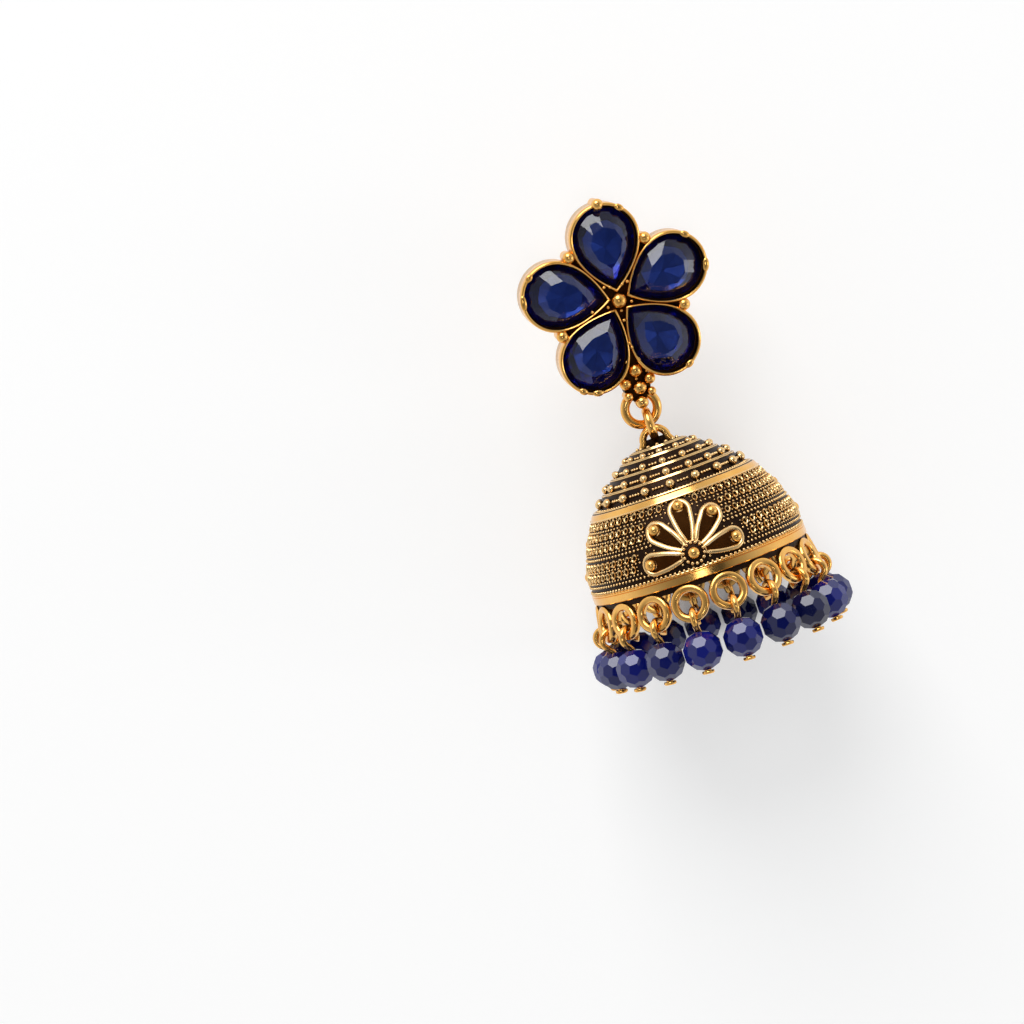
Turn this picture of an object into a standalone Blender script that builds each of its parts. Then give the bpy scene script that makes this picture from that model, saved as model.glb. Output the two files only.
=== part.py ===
"""Jhumka earring lying on its back: a flower of pear stones, a link and a beaded bell.

The bell's axis runs along Y, with the flower at +Y and the bell's mouth at -Y.
Lengths are in metres and angles in degrees.
"""
import math

import bmesh
import bpy
from mathutils import Matrix, Vector

# Bell: a turned shell with a rim, an upper band and four stepped tiers
BELL_RADIUS = 0.01185
BELL_HEIGHT = 0.0139
BELL_WALL = 0.00075
CROWN_THICKNESS = 0.0019
BELL_SIDES = 30
BELL_INNER_STEPS = 5
SKIRT_DEPTH = 0.0006
SKIRT_INSET = 0.0003

# The bell's outline from rim to tiers, as shares of its height and radius
BELL_SECTIONS = (
    # section, height, radius
    ("rim foot", 0.000, 1.000),
    ("rim top", 0.072, 1.000),
    ("field foot", 0.076, 0.981),
    ("field low", 0.280, 0.950),
    ("field high", 0.470, 0.862),
    ("field top", 0.600, 0.770),
    ("band foot", 0.604, 0.790),
    ("band top", 0.648, 0.763),
    ("ledge", 0.655, 0.735),
)

# The tiers: foot and top as shares of the bell, and each tier's granules as shares of the largest
GRANULE_RADIUS = 0.0005
TIERS = (
    # foot height, foot radius, top height, top radius, granules, granule size
    (0.665, 0.675, 0.764, 0.616, 18, 1.00),
    (0.771, 0.578, 0.852, 0.502, 17, 0.88),
    (0.860, 0.452, 0.934, 0.376, 15, 0.80),
    (0.941, 0.325, 0.989, 0.262, 13, 0.74),
)
GRANULE_LEVEL = 0.47
GRANULE_PROUD = 0.5
GRANULE_ROOT = 0.8
GRANULE_SHOULDER = 0.5
GRANULE_SHOULDER_WIDTH = 0.8
CROWN_RADIUS_SHARE = 0.22

# Pierced motifs: five drop-shaped openings fanned round a hub
MOTIF_COUNT = 3
MOTIF_HEIGHT = 0.0026
MOTIF_FAN = (-88, -43, 0, 43, 88)
MOTIF_TOP_GAP = 0.00002
OPENING_START = 0.0014
OPENING_WIDTH = 0.0017
OPENING_STEPS = 4
OPENING_NARROW_SHARE = 0.3
OPENING_CUT_WALLS = 2
FRAME_WIDTH = 0.00036
FRAME_PROUD = 0.0003
LAND_SINK = 0.0003
TIP_BALL_SETBACK = 0.00044
TIP_BALL_RADIUS = 0.00063
TIP_BALL_SINK = 0.00005
HUB_BALL_RADIUS = 0.00066
HUB_RADIUS = 0.00128
HUB_SIDES = 8
HUB_BALL_LIFT = 0.0003

# Stirrup: the wire arch on the crown that holds the link
STIRRUP_WIRE = 0.00065
STIRRUP_ROOM = 0.00085
STIRRUP_HALF_SPAN = 0.00135
STIRRUP_SPLAY = 0.00045
STIRRUP_ROOT = 0.0004
STIRRUP_STEPS = 6

# Rings under the rim
RING_COUNT = 18
RING_CLEARANCE = 0.00018
RING_WIDTH = 0.00075
RING_THICKNESS = 0.0009
RING_SET_IN = 0.00011
RING_BITE = 0.00045
RING_FLARE = 10
RING_SIDES = 10
RING_SECTION_SIDES = 5

# Beads and the wires that hold them
BEAD_FLARE = 6
BEAD_SWING = 4
BEAD_CLEARANCE = 0.00024
BEAD_SIDES = 10
BEAD_ARC_STEPS = 5
PIN_WIRE = 0.0007
LOOP_HOLE = 0.0012
LOOP_CLEARANCE = 0.00015
LOOP_STEPS = 7
LOOP_START = -62
LOOP_END = 215
WIRE_SIDES = 5
BEAD_HOLE_CLEARANCE = 0.00015
BEAD_SEAT_GAP = 0.00005
CAP_RADIUS = 0.00065
CAP_THICKNESS = 0.00035
CAP_GAP = 0.0001

# Link: its hole takes the flower's ring and the stirrup side by side
LINK_WIRE = 0.00095
LINK_CLEARANCE = 0.00013
LINK_SLANT = 130
LINK_SIDES = 14

# Flower: five bezels with a pear stone each
PETAL_COUNT = 5
PETAL_GAP = 0.00035
PEAR_END = 0.01005
PEAR_TIP = 0.00127
PEAR_CHEEK = 0.0020
PEAR_TIP_REACH = 0.0024
PEAR_TIP_ANGLE = 52
PEAR_TIP_GROWTH = 1.0
PEAR_HEAD_STEPS = 8
PEAR_SIDE_STEPS = 4
BEZEL_WALL = 0.00035
BEZEL_HEIGHT = 0.0026
BACK_PLATE = 0.0005
PLATE_DISC_SIDES = 10
CENTRE_BALL_RADIUS = 0.00083
CENTRE_BALL_LEVEL = 0.0023
VALLEY_BALL_RADIUS = 0.00066
VALLEY_BALL_BITE = 0.00017
VALLEY_BALL_LEVEL = 0.0019
TOP_BALL_RADIUS = 0.0006
STEM_SHARE = 0.85
BALL_SIDES = 8
BALL_BANDS = (0, 50)
STUD_SIDES = 5

# Stones
SEAT_CLEARANCE = 0.00012
STONE_TABLE_SHARE = 0.5
STONE_KEEL_SHARE = 0.15
STONE_CROWN = 0.0007
STONE_GIRDLE = 0.00015
KEEL_CLEARANCE = 0.00025
GIRDLE_DROP = 0.0004

# Cluster of balls below the flower, and the fixed ring
CLUSTER_END = 0.0112
CLUSTER_HALF_WIDTH = 0.0023
CLUSTER_BALL_RADIUS = 0.00071
CLUSTER_BALLS = (
    # share of the cluster's end below the flower's centre, of its half width, of its largest ball
    (0.687, 0.04, 1.00),
    (0.795, -0.54, 0.82),
    (0.795, 0.61, 0.82),
    (0.859, 0.07, 0.97),
    (0.920, -0.53, 0.68),
    (0.920, 0.57, 0.65),
    (1.000, 0.02, 0.93),
)
CLUSTER_LEVEL = 0.0017
CLUSTER_BLOCK_HEIGHT = 0.0014
CLUSTER_BLOCK = (
    # share of the cluster's end below the flower's centre, share of its half width
    (0.536, 0.39),
    (0.714, 0.96),
    (0.830, 1.00),
    (0.929, 0.74),
    (1.009, 0.35),
)
CLUSTER_LINK_GAP = 0.00037
FLOWER_RING_RADIUS = 0.00175
FLOWER_RING_WIRE = 0.001
FLOWER_RING_LEVEL = 0.00055
FLOWER_RING_SIDES = 16
RING_SLIDE = 13

# Ear post and clutch
POST_RADIUS = 0.00045
POST_SIDES = 8
CLUTCH_RADIUS = 0.0027
CLUTCH_THICKNESS = 0.0018
CLUTCH_CHAMFER = 0.0003
CLUTCH_SIDES = 12
CLUTCH_BORE_CLEARANCE = 0.00015
POST_END_GAP = 0.0003

# How the earring lies
DROP_PITCH = 5
FLOWER_TURN = 5
FLOWER_LEAN_RIGHT = 9.5
FLOWER_LEAN_DOWN = 6.8

# Edges steeper than this are shaded sharp
SHARP_ANGLE = 35

for old in list(bpy.data.objects):
    bpy.data.objects.remove(old, do_unlink=True)


def finish_material(name, colour, roughness, metallic):
    """A plain Principled material."""
    made = bpy.data.materials.new(name)
    made.use_nodes = True
    shader = made.node_tree.nodes["Principled BSDF"]
    shader.inputs["Base Color"].default_value = (*colour, 1)
    shader.inputs["Roughness"].default_value = roughness
    shader.inputs["Metallic"].default_value = metallic
    return made


def frame_empty(name, parent=None, matrix=None):
    """An empty that carries pieces built in its own frame."""
    holder = bpy.data.objects.new(name, None)
    bpy.context.collection.objects.link(holder)
    holder.parent = parent
    if matrix is not None:
        holder.matrix_basis = matrix
    return holder


def add_object(name, mesh, parent, matrix=None):
    """An object for a mesh, set in its parent's frame."""
    made = bpy.data.objects.new(name, mesh)
    bpy.context.collection.objects.link(made)
    made.parent = parent
    if matrix is not None:
        made.matrix_basis = matrix
    return made


def mesh_from(name, shape, material):
    """A mesh with outward faces, shaded smooth up to the sharp angle."""
    bmesh.ops.recalc_face_normals(shape, faces=shape.faces)
    mesh = bpy.data.meshes.new(name)
    shape.to_mesh(mesh)
    shape.free()
    mesh.materials.append(material)
    mesh.shade_smooth()
    mesh.set_sharp_from_angle(angle=math.radians(SHARP_ANGLE))
    return mesh


def tool_object(name, shape, material, parent):
    """A hidden solid that a Boolean adds or takes away."""
    made = add_object(name, mesh_from(name, shape, material), parent)
    made.hide_render = True
    made.display_type = "WIRE"
    return made


def boolean(target, tool, operation, overlaps=False):
    """An exact Boolean; overlaps says that the tool's own solids meet."""
    step = target.modifiers.new(tool.name, "BOOLEAN")
    step.operation = operation
    step.solver = "EXACT"
    step.use_self = overlaps
    step.object = tool


def merge_into(shape, other, matrix):
    """Adds another bmesh to a shape, moved by a matrix."""
    bmesh.ops.transform(other, matrix=matrix, verts=other.verts)
    carrier = bpy.data.meshes.new("carrier")
    other.to_mesh(carrier)
    other.free()
    shape.from_mesh(carrier)
    bpy.data.meshes.remove(carrier)


def turned(profile, sides, axis):
    """A closed profile of (radius, height) points, spun into a solid with a flat towards Z."""
    shape = bmesh.new()
    across = Matrix.Rotation(math.pi / sides, 3, axis) @ Vector((1, 0, 0))
    corners = [shape.verts.new(across * radius + axis * height) for radius, height in profile]
    edges = []
    for i in range(len(profile)):
        if profile[i - 1][0] > 0 or profile[i][0] > 0:
            edges.append(shape.edges.new((corners[i - 1], corners[i])))
    bmesh.ops.spin(shape, geom=corners + edges, cent=(0, 0, 0), axis=axis,
                   angle=math.tau, steps=sides, use_merge=True)
    bmesh.ops.remove_doubles(shape, verts=shape.verts, dist=1e-7)
    bmesh.ops.recalc_face_normals(shape, faces=shape.faces)
    return shape


def wire_ring(radius, half_width, half_thickness, sides, wire_sides, axis, across):
    """A ring whose section has its half width along the ring's radius."""
    shape = bmesh.new()
    section = []
    for step in range(wire_sides):
        angle = math.tau * step / wire_sides
        reach = radius + half_width * math.cos(angle)
        section.append(shape.verts.new(across * reach + axis * (half_thickness * math.sin(angle))))
    edges = [shape.edges.new((section[i - 1], section[i])) for i in range(wire_sides)]
    bmesh.ops.spin(shape, geom=section + edges, cent=(0, 0, 0), axis=axis,
                   angle=math.tau, steps=sides, use_merge=True)
    return shape


def ball_on_stem(radius, level):
    """A ball whose centre stands at a level above the plate, on a stem."""
    stem = radius * STEM_SHARE
    profile = [(0, BACK_PLATE / 2), (stem, BACK_PLATE / 2)]
    profile.append((stem, level - radius * math.sin(math.acos(STEM_SHARE))))
    for band in BALL_BANDS:
        angle = math.radians(band)
        profile.append((radius * math.cos(angle), level + radius * math.sin(angle)))
    profile.append((0, level + radius))
    return turned(profile, BALL_SIDES, Vector((0, 0, 1)))


def ball(radius):
    """A small faceted ball."""
    shape = bmesh.new()
    bmesh.ops.create_icosphere(shape, subdivisions=1, radius=radius)
    return shape


def granule(radius):
    """A granule's outer half, with a short root that sinks into the tier."""
    profile = [
        (0, -radius * GRANULE_ROOT),
        (radius, -radius * GRANULE_ROOT),
        (radius * GRANULE_SHOULDER_WIDTH, radius * GRANULE_SHOULDER),
        (0, radius),
    ]
    return turned(profile, STUD_SIDES, Vector((0, 0, 1)))


def bent_wire(path, plane_normal):
    """A wire along a flat path of (point, half thickness), with mitred bends and closed ends."""
    shape = bmesh.new()
    points = [point for point, _ in path]
    directions = [(b - a).normalized() for a, b in zip(points, points[1:])]
    for index, direction in enumerate(directions):
        if direction.length == 0:
            directions[index] = directions[index - 1]
    rows = []
    for index, (point, half) in enumerate(path):
        before = directions[max(index - 1, 0)]
        after = directions[min(index, len(directions) - 1)]
        along = (before + after).normalized()
        side = along.cross(plane_normal) / along.dot(before)
        row = []
        for step in range(WIRE_SIDES):
            angle = math.tau * step / WIRE_SIDES
            offset = side * math.cos(angle) + plane_normal * math.sin(angle)
            row.append(shape.verts.new(point + offset * half))
        rows.append(row)
    shape.faces.new(rows[0])
    shape.faces.new(list(reversed(rows[-1])))
    for near, far in zip(rows, rows[1:]):
        for i in range(WIRE_SIDES):
            shape.faces.new((near[i - 1], far[i - 1], far[i], near[i]))
    bmesh.ops.recalc_face_normals(shape, faces=shape.faces)
    return shape


def round_the_axis(angle, height, radius, lean=0):
    """Places a piece at an angle round the bell's axis, facing outward."""
    place = Matrix.Translation((0, height, radius)) @ Matrix.Rotation(math.radians(-lean), 4, "X")
    return Matrix.Rotation(math.radians(angle), 4, "Y") @ place


def outline_radius(height):
    """The bell's outer radius at a height, read along its sections."""
    share = height / BELL_HEIGHT
    points = [(row[1], row[2]) for row in BELL_SECTIONS]
    for (low, low_radius), (high, high_radius) in zip(points, points[1:]):
        if share <= high:
            part = (share - low) / (high - low)
            return BELL_RADIUS * (low_radius + (high_radius - low_radius) * part)
    return BELL_RADIUS * points[-1][1]


gold = finish_material("polished_gold", (0.83, 0.55, 0.17), 0.22, 1.0)
antique_gold = finish_material("antique_gold", (0.62, 0.42, 0.16), 0.38, 1.0)
blue_stone = finish_material("blue_stone", (0.01, 0.02, 0.12), 0.05, 0.0)
blue_bead = finish_material("blue_bead", (0.01, 0.015, 0.16), 0.08, 0.0)

earring = frame_empty("earring")
drop = frame_empty("drop", earring, Matrix.Rotation(math.radians(-DROP_PITCH), 4, "X"))

# Bell shell: one closed profile, outer side up and inner side down
rim_inner = BELL_RADIUS - BELL_WALL
skirt_outer = BELL_RADIUS - SKIRT_INSET
bell_profile = [(skirt_outer, -SKIRT_DEPTH), (skirt_outer, 0)]
bell_profile += [(BELL_RADIUS * radius, BELL_HEIGHT * height) for _, height, radius in BELL_SECTIONS]
for foot, foot_radius, top, top_radius, _, _ in TIERS:
    bell_profile.append((BELL_RADIUS * foot_radius, BELL_HEIGHT * foot))
    bell_profile.append((BELL_RADIUS * top_radius, BELL_HEIGHT * top))
bell_profile.append((BELL_RADIUS * CROWN_RADIUS_SHARE, BELL_HEIGHT))
bell_profile.append((0, BELL_HEIGHT))
for step in range(BELL_INNER_STEPS, -1, -1):
    angle = math.pi / 2 * step / BELL_INNER_STEPS
    inner_radius = rim_inner * math.cos(angle) if step < BELL_INNER_STEPS else 0
    bell_profile.append((inner_radius, (BELL_HEIGHT - CROWN_THICKNESS) * math.sin(angle)))
bell_profile.append((rim_inner, -SKIRT_DEPTH))
bell_shape = turned(bell_profile, BELL_SIDES, Vector((0, 1, 0)))
dome = add_object("jhumka_dome", mesh_from("jhumka_dome", bell_shape, antique_gold), drop)


def drop_outline(start, end, half_width, steps):
    """Points of a drop from its narrow start to its round end, along +Y."""
    centre = end - half_width
    angles = [math.pi * step / steps for step in range(steps + 1)]
    side = [(half_width * math.cos(angle), centre + half_width * math.sin(angle)) for angle in angles]
    narrow = half_width * OPENING_NARROW_SHARE
    return side + [(-narrow, start), (narrow, start)]


def wrapped_prism(shape, outline, turn, motif_angle, sink, proud):
    """Adds a prism that follows the bell's curve, from a flat outline round the motif's hub."""
    inner, outer = [], []
    turn = math.radians(turn)
    for across, up in outline:
        flat_x = across * math.cos(turn) + up * math.sin(turn)
        height = MOTIF_HEIGHT - across * math.sin(turn) + up * math.cos(turn)
        radius = outline_radius(height)
        angle = motif_angle + flat_x / outline_radius(MOTIF_HEIGHT)
        toward = Vector((math.sin(angle), 0, math.cos(angle)))
        rise = Vector((0, height, 0))
        inner.append(shape.verts.new(toward * (radius - sink) + rise))
        outer.append(shape.verts.new(toward * (radius + proud) + rise))
    shape.faces.new(inner)
    shape.faces.new(list(reversed(outer)))
    for i in range(len(outline)):
        shape.faces.new((inner[i - 1], outer[i - 1], outer[i], inner[i]))


def round_outline(radius, steps):
    """A small round outline."""
    angles = [math.tau * step / steps for step in range(steps)]
    return [(radius * math.cos(angle), radius * math.sin(angle)) for angle in angles]


# Motif lands and openings
lands = bmesh.new()
openings = bmesh.new()
half_opening = OPENING_WIDTH / 2
field_top = next(BELL_HEIGHT * height for section, height, _ in BELL_SECTIONS if section == "field top")
opening_end = field_top - MOTIF_TOP_GAP - MOTIF_HEIGHT - FRAME_WIDTH
tip_ball_reach = opening_end - TIP_BALL_SETBACK
for motif in range(MOTIF_COUNT):
    motif_angle = math.tau * motif / MOTIF_COUNT
    wrapped_prism(lands, round_outline(HUB_RADIUS, HUB_SIDES), 0, motif_angle, LAND_SINK, FRAME_PROUD)
    for turn in MOTIF_FAN:
        land = drop_outline(OPENING_START - FRAME_WIDTH, opening_end + FRAME_WIDTH,
                            half_opening + FRAME_WIDTH, OPENING_STEPS)
        wrapped_prism(lands, land, turn, motif_angle, LAND_SINK, FRAME_PROUD)
        hole = drop_outline(OPENING_START, opening_end, half_opening, OPENING_STEPS)
        wrapped_prism(openings, hole, turn, motif_angle, OPENING_CUT_WALLS * BELL_WALL, 2 * FRAME_PROUD)
boolean(dome, tool_object("bell_lands", lands, antique_gold, drop), "UNION", overlaps=True)
boolean(dome, tool_object("bell_openings", openings, antique_gold, drop), "DIFFERENCE")

# Granules on the tiers, and the balls of the motifs
fittings = bmesh.new()
for foot, foot_radius, top, top_radius, count, share in TIERS:
    size = GRANULE_RADIUS * share
    level = BELL_HEIGHT * (foot + (top - foot) * GRANULE_LEVEL)
    seat = BELL_RADIUS * (foot_radius + (top_radius - foot_radius) * GRANULE_LEVEL)
    for step in range(count):
        place = round_the_axis(360 * step / count, level, seat + size * GRANULE_PROUD)
        merge_into(fittings, granule(size), place)
for motif in range(MOTIF_COUNT):
    motif_turn = 360 * motif / MOTIF_COUNT
    hub_radius = outline_radius(MOTIF_HEIGHT) + HUB_BALL_LIFT
    merge_into(fittings, ball(HUB_BALL_RADIUS), round_the_axis(motif_turn, MOTIF_HEIGHT, hub_radius))
    for turn in MOTIF_FAN:
        across = tip_ball_reach * math.sin(math.radians(turn))
        height = MOTIF_HEIGHT + tip_ball_reach * math.cos(math.radians(turn))
        spread = math.degrees(across / outline_radius(MOTIF_HEIGHT))
        place = round_the_axis(motif_turn + spread, height, outline_radius(height) - TIP_BALL_SINK)
        merge_into(fittings, ball(TIP_BALL_RADIUS), place)

# Rings under the rim
ring_circle = BELL_RADIUS - RING_SET_IN
ring_outer = ring_circle * math.sin(math.pi / RING_COUNT) - RING_CLEARANCE / 2
ring_middle = ring_outer - RING_WIDTH / 2
ring_height = RING_BITE - SKIRT_DEPTH - ring_outer
ring_angles = [360 * (step + 0.5) / RING_COUNT for step in range(RING_COUNT)]
for angle in ring_angles:
    ring = wire_ring(ring_middle, RING_WIDTH / 2, RING_THICKNESS / 2, RING_SIDES, RING_SECTION_SIDES,
                     Vector((0, 0, 1)), Vector((0, 1, 0)))
    merge_into(fittings, ring, round_the_axis(angle, ring_height, ring_circle, RING_FLARE))

# Stirrup: a wire bent into an arch that splays to its two feet
stirrup_reach = BELL_HEIGHT + LINK_WIRE + STIRRUP_ROOM
stirrup_foot = BELL_HEIGHT - STIRRUP_ROOT
leg_top = stirrup_reach - STIRRUP_HALF_SPAN
foot_span = STIRRUP_HALF_SPAN + STIRRUP_SPLAY
stirrup_path = [(Vector((-foot_span, stirrup_foot, 0)), STIRRUP_WIRE / 2)]
for step in range(STIRRUP_STEPS + 1):
    angle = math.pi * (1 - step / STIRRUP_STEPS)
    bend = Vector((math.cos(angle), math.sin(angle), 0)) * STIRRUP_HALF_SPAN
    stirrup_path.append((Vector((0, leg_top, 0)) + bend, STIRRUP_WIRE / 2))
stirrup_path.append((Vector((foot_span, stirrup_foot, 0)), STIRRUP_WIRE / 2))
stirrup = bent_wire(stirrup_path, Vector((0, 0, 1)))
merge_into(fittings, stirrup, Matrix.Identity(4))
boolean(dome, tool_object("bell_fittings", fittings, antique_gold, drop), "UNION")

# Bead wires: a loop through the ring, a shank and an end cap
flare = math.radians(RING_FLARE)
loop_radius = (LOOP_HOLE + PIN_WIRE) / 2
ring_hole_foot = ring_middle - RING_WIDTH / 2
loop_drop = ring_hole_foot - LOOP_CLEARANCE + LOOP_HOLE / 2
loop_height = ring_height - loop_drop * math.cos(flare)
loop_circle = ring_circle + loop_drop * math.sin(flare)
loop_foot = loop_radius + PIN_WIRE / 2
hole_radius = PIN_WIRE / 2 + BEAD_HOLE_CLEARANCE
lean = math.radians(BEAD_FLARE)
half_turn = math.sin(math.pi / RING_COUNT)
# The bead's radius and its place on the wire follow each other, so both come from one equation
reach_without_bead = loop_circle + (loop_foot + BEAD_SEAT_GAP) * math.sin(lean)
bead_radius = ((reach_without_bead * half_turn - BEAD_CLEARANCE / 2)
               / (1 - math.sin(lean) * half_turn))
bead_half_height = math.sqrt(bead_radius ** 2 - hole_radius ** 2)
bead_drop = loop_foot + BEAD_SEAT_GAP + bead_half_height
cap_top = bead_drop + bead_half_height + CAP_GAP

half_wire = PIN_WIRE / 2
pin_path = [
    (Vector((0, -cap_top - CAP_THICKNESS, 0)), CAP_RADIUS),
    (Vector((0, -cap_top, 0)), CAP_RADIUS),
    (Vector((0, -cap_top, 0)), half_wire),
    (Vector((0, -loop_radius - half_wire, 0)), half_wire),
]
for step in range(LOOP_STEPS + 1):
    angle = math.radians(LOOP_START + (LOOP_END - LOOP_START) * step / LOOP_STEPS)
    pin_path.append((Vector((0, math.sin(angle), math.cos(angle))) * loop_radius, half_wire))
pin_mesh = mesh_from("bead_pin", bent_wire(pin_path, Vector((1, 0, 0))), gold)

# Beads: drilled and faceted
bead_profile = [(hole_radius, -bead_half_height)]
hole_angle = math.asin(hole_radius / bead_radius)
for step in range(1, BEAD_ARC_STEPS):
    angle = -math.pi / 2 + hole_angle + (math.pi - 2 * hole_angle) * step / BEAD_ARC_STEPS
    bead_profile.append((bead_radius * math.cos(angle), bead_radius * math.sin(angle)))
bead_profile.append((hole_radius, bead_half_height))
bead_mesh = mesh_from("bead", turned(bead_profile, BEAD_SIDES, Vector((0, 1, 0))), blue_bead)

beads = []
swing = Matrix.Rotation(math.radians(-BEAD_SWING), 4, "Z")
for number, angle in enumerate(ring_angles, start=1):
    wire_place = round_the_axis(angle, loop_height, loop_circle, BEAD_FLARE) @ swing
    bead_place = wire_place @ Matrix.Translation((0, -bead_drop, 0))
    beads.append(add_object(f"bead_{number:02d}", bead_mesh, drop, bead_place))
    add_object(f"bead_pin_{number:02d}", pin_mesh, drop, wire_place)

# The floor is at the lowest bead
bead_places = [drop.matrix_basis @ bead.matrix_basis for bead in beads]
floor = min((place @ corner.co).z for place in bead_places for corner in bead_mesh.vertices)

# Link between the stirrup's crown and the flower's ring
crown = drop.matrix_basis @ Vector((0, stirrup_reach, 0))
link_hole = (FLOWER_RING_WIRE + STIRRUP_WIRE + 3 * LINK_CLEARANCE) / 2
slant = math.radians(LINK_SLANT)
toward_crown = Vector((0, math.cos(slant), math.sin(slant)))
link_centre = crown - toward_crown * (link_hole - STIRRUP_WIRE / 2 - LINK_CLEARANCE)
flower_ring_foot = link_centre - toward_crown * (link_hole - FLOWER_RING_WIRE / 2 - LINK_CLEARANCE)
link = wire_ring(link_hole + LINK_WIRE / 2, LINK_WIRE / 2, LINK_WIRE / 2, LINK_SIDES, WIRE_SIDES,
                 Vector((1, 0, 0)), Vector((0, 1, 0)))
add_object("drop_link", mesh_from("drop_link", link, gold), earring, Matrix.Translation(link_centre))

# The flower's own frame: its centre on the underside of the back plate, +Y away from its ring.
# The link hangs a little round the flower's ring from its lowest point.
lean_right = Matrix.Rotation(math.radians(FLOWER_LEAN_RIGHT), 4, "Y")
lean_down = Matrix.Rotation(math.radians(FLOWER_LEAN_DOWN), 4, "X")
flower_plane = lean_right @ lean_down
flower_turn = flower_plane @ Matrix.Rotation(math.radians(-FLOWER_TURN), 4, "Z")
_, _, last_ball = CLUSTER_BALLS[-1]
ring_hole = FLOWER_RING_RADIUS - FLOWER_RING_WIRE / 2
lowest_ball = CLUSTER_END + CLUSTER_BALL_RADIUS * last_ball
flower_ring_reach = lowest_ball + CLUSTER_LINK_GAP + LINK_WIRE + LINK_CLEARANCE - ring_hole
slide = math.radians(RING_SLIDE)
ring_side = Vector((-math.sin(slide), math.cos(slide), 0))
ring_centre = flower_ring_foot + flower_plane @ (ring_side * FLOWER_RING_RADIUS)
flower_centre = ring_centre - flower_turn @ Vector((0, -flower_ring_reach, FLOWER_RING_LEVEL))
flower = frame_empty("flower", earring, Matrix.Translation(flower_centre) @ flower_turn)

# Petals: as wide as the gap between neighbours lets them be
half_sector = math.pi / PETAL_COUNT
sector_share = math.sin(half_sector)
pear_half_width = (PEAR_END * sector_share - BEZEL_WALL - PETAL_GAP / 2) / (1 + sector_share)


def pear_outline(growth):
    """A pear along +Y with its tip towards the centre, grown by a width all round."""
    half_width = pear_half_width + growth
    head = PEAR_END - pear_half_width
    tip = PEAR_TIP - growth * PEAR_TIP_GROWTH
    angle = math.radians(PEAR_TIP_ANGLE)
    pulls = (
        Vector((half_width, head)),
        Vector((half_width, head - PEAR_CHEEK)),
        Vector((math.sin(angle), math.cos(angle))) * PEAR_TIP_REACH + Vector((0, tip)),
        Vector((0, tip)),
    )
    side = []
    for step in range(1, PEAR_SIDE_STEPS):
        t = step / PEAR_SIDE_STEPS
        weights = ((1 - t) ** 3, 3 * t * (1 - t) ** 2, 3 * t * t * (1 - t), t ** 3)
        point = sum((pull * weight for pull, weight in zip(pulls, weights)), Vector((0, 0)))
        side.append((point.x, point.y))
    round_end = [(half_width * math.cos(math.pi * step / PEAR_HEAD_STEPS),
                  head + half_width * math.sin(math.pi * step / PEAR_HEAD_STEPS))
                 for step in range(PEAR_HEAD_STEPS + 1)]
    left_side = [(-x, y) for x, y in side]
    return round_end + left_side + [(0, tip)] + list(reversed(side))


def prism(shape, outline, low, high, turn=0):
    """Adds an upright prism over an outline, turned clockwise about the flower's centre."""
    rotation = Matrix.Rotation(math.radians(-turn), 4, "Z")
    corners = [shape.verts.new(rotation @ Vector((x, y, low))) for x, y in outline]
    base = shape.faces.new(corners)
    raised = bmesh.ops.extrude_face_region(shape, geom=[base], use_keep_orig=True)
    top_corners = [part for part in raised["geom"] if isinstance(part, bmesh.types.BMVert)]
    bmesh.ops.translate(shape, verts=top_corners, vec=(0, 0, high - low))


petal_turns = [360 * step / PETAL_COUNT for step in range(PETAL_COUNT)]

# Each valley ball bites into the round heads of both its neighbours, and the plate reaches out to it
head_reach = PEAR_END - pear_half_width
ball_to_head = pear_half_width + BEZEL_WALL + VALLEY_BALL_RADIUS - VALLEY_BALL_BITE
beyond_heads = math.sqrt(max(ball_to_head ** 2 - (head_reach * sector_share) ** 2, 0))
valley_reach = head_reach * math.cos(half_sector) + beyond_heads
plate_disc = bmesh.new()
prism(plate_disc, round_outline(valley_reach, PLATE_DISC_SIDES), 0, BACK_PLATE)
setting = add_object("flower_setting", mesh_from("flower_setting", plate_disc, gold), flower)

# Bezel blocks and the cluster's block, then the pockets for the stones
blocks = bmesh.new()
pockets = bmesh.new()
for turn in petal_turns:
    prism(blocks, pear_outline(BEZEL_WALL), 0, BEZEL_HEIGHT, turn)
    prism(pockets, pear_outline(0), BACK_PLATE, 2 * BEZEL_HEIGHT, turn)
right_edge = [(CLUSTER_HALF_WIDTH * width, -CLUSTER_END * reach) for reach, width in CLUSTER_BLOCK]
left_edge = [(-x, y) for x, y in reversed(right_edge)]
prism(blocks, right_edge + left_edge, 0, CLUSTER_BLOCK_HEIGHT)
boolean(setting, tool_object("bezel_blocks", blocks, gold, flower), "UNION", overlaps=True)
boolean(setting, tool_object("stone_pockets", pockets, gold, flower), "DIFFERENCE")

# Balls on their stems, the fixed ring and the ear post
trim = bmesh.new()
merge_into(trim, ball_on_stem(CENTRE_BALL_RADIUS, CENTRE_BALL_LEVEL), Matrix.Identity(4))
cluster_turn = 180
for turn in petal_turns:
    valley = turn + 180 / PETAL_COUNT
    if valley != cluster_turn:
        place = Matrix.Rotation(math.radians(-valley), 4, "Z") @ Matrix.Translation((0, valley_reach, 0))
        merge_into(trim, ball_on_stem(VALLEY_BALL_RADIUS, VALLEY_BALL_LEVEL), place)
top_ball_place = Matrix.Translation((0, PEAR_END + BEZEL_WALL, 0))
merge_into(trim, ball_on_stem(TOP_BALL_RADIUS, BEZEL_HEIGHT), top_ball_place)
for reach, across, size in CLUSTER_BALLS:
    place = Matrix.Translation((CLUSTER_HALF_WIDTH * across, -CLUSTER_END * reach, 0))
    merge_into(trim, ball_on_stem(CLUSTER_BALL_RADIUS * size, CLUSTER_LEVEL), place)
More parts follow.
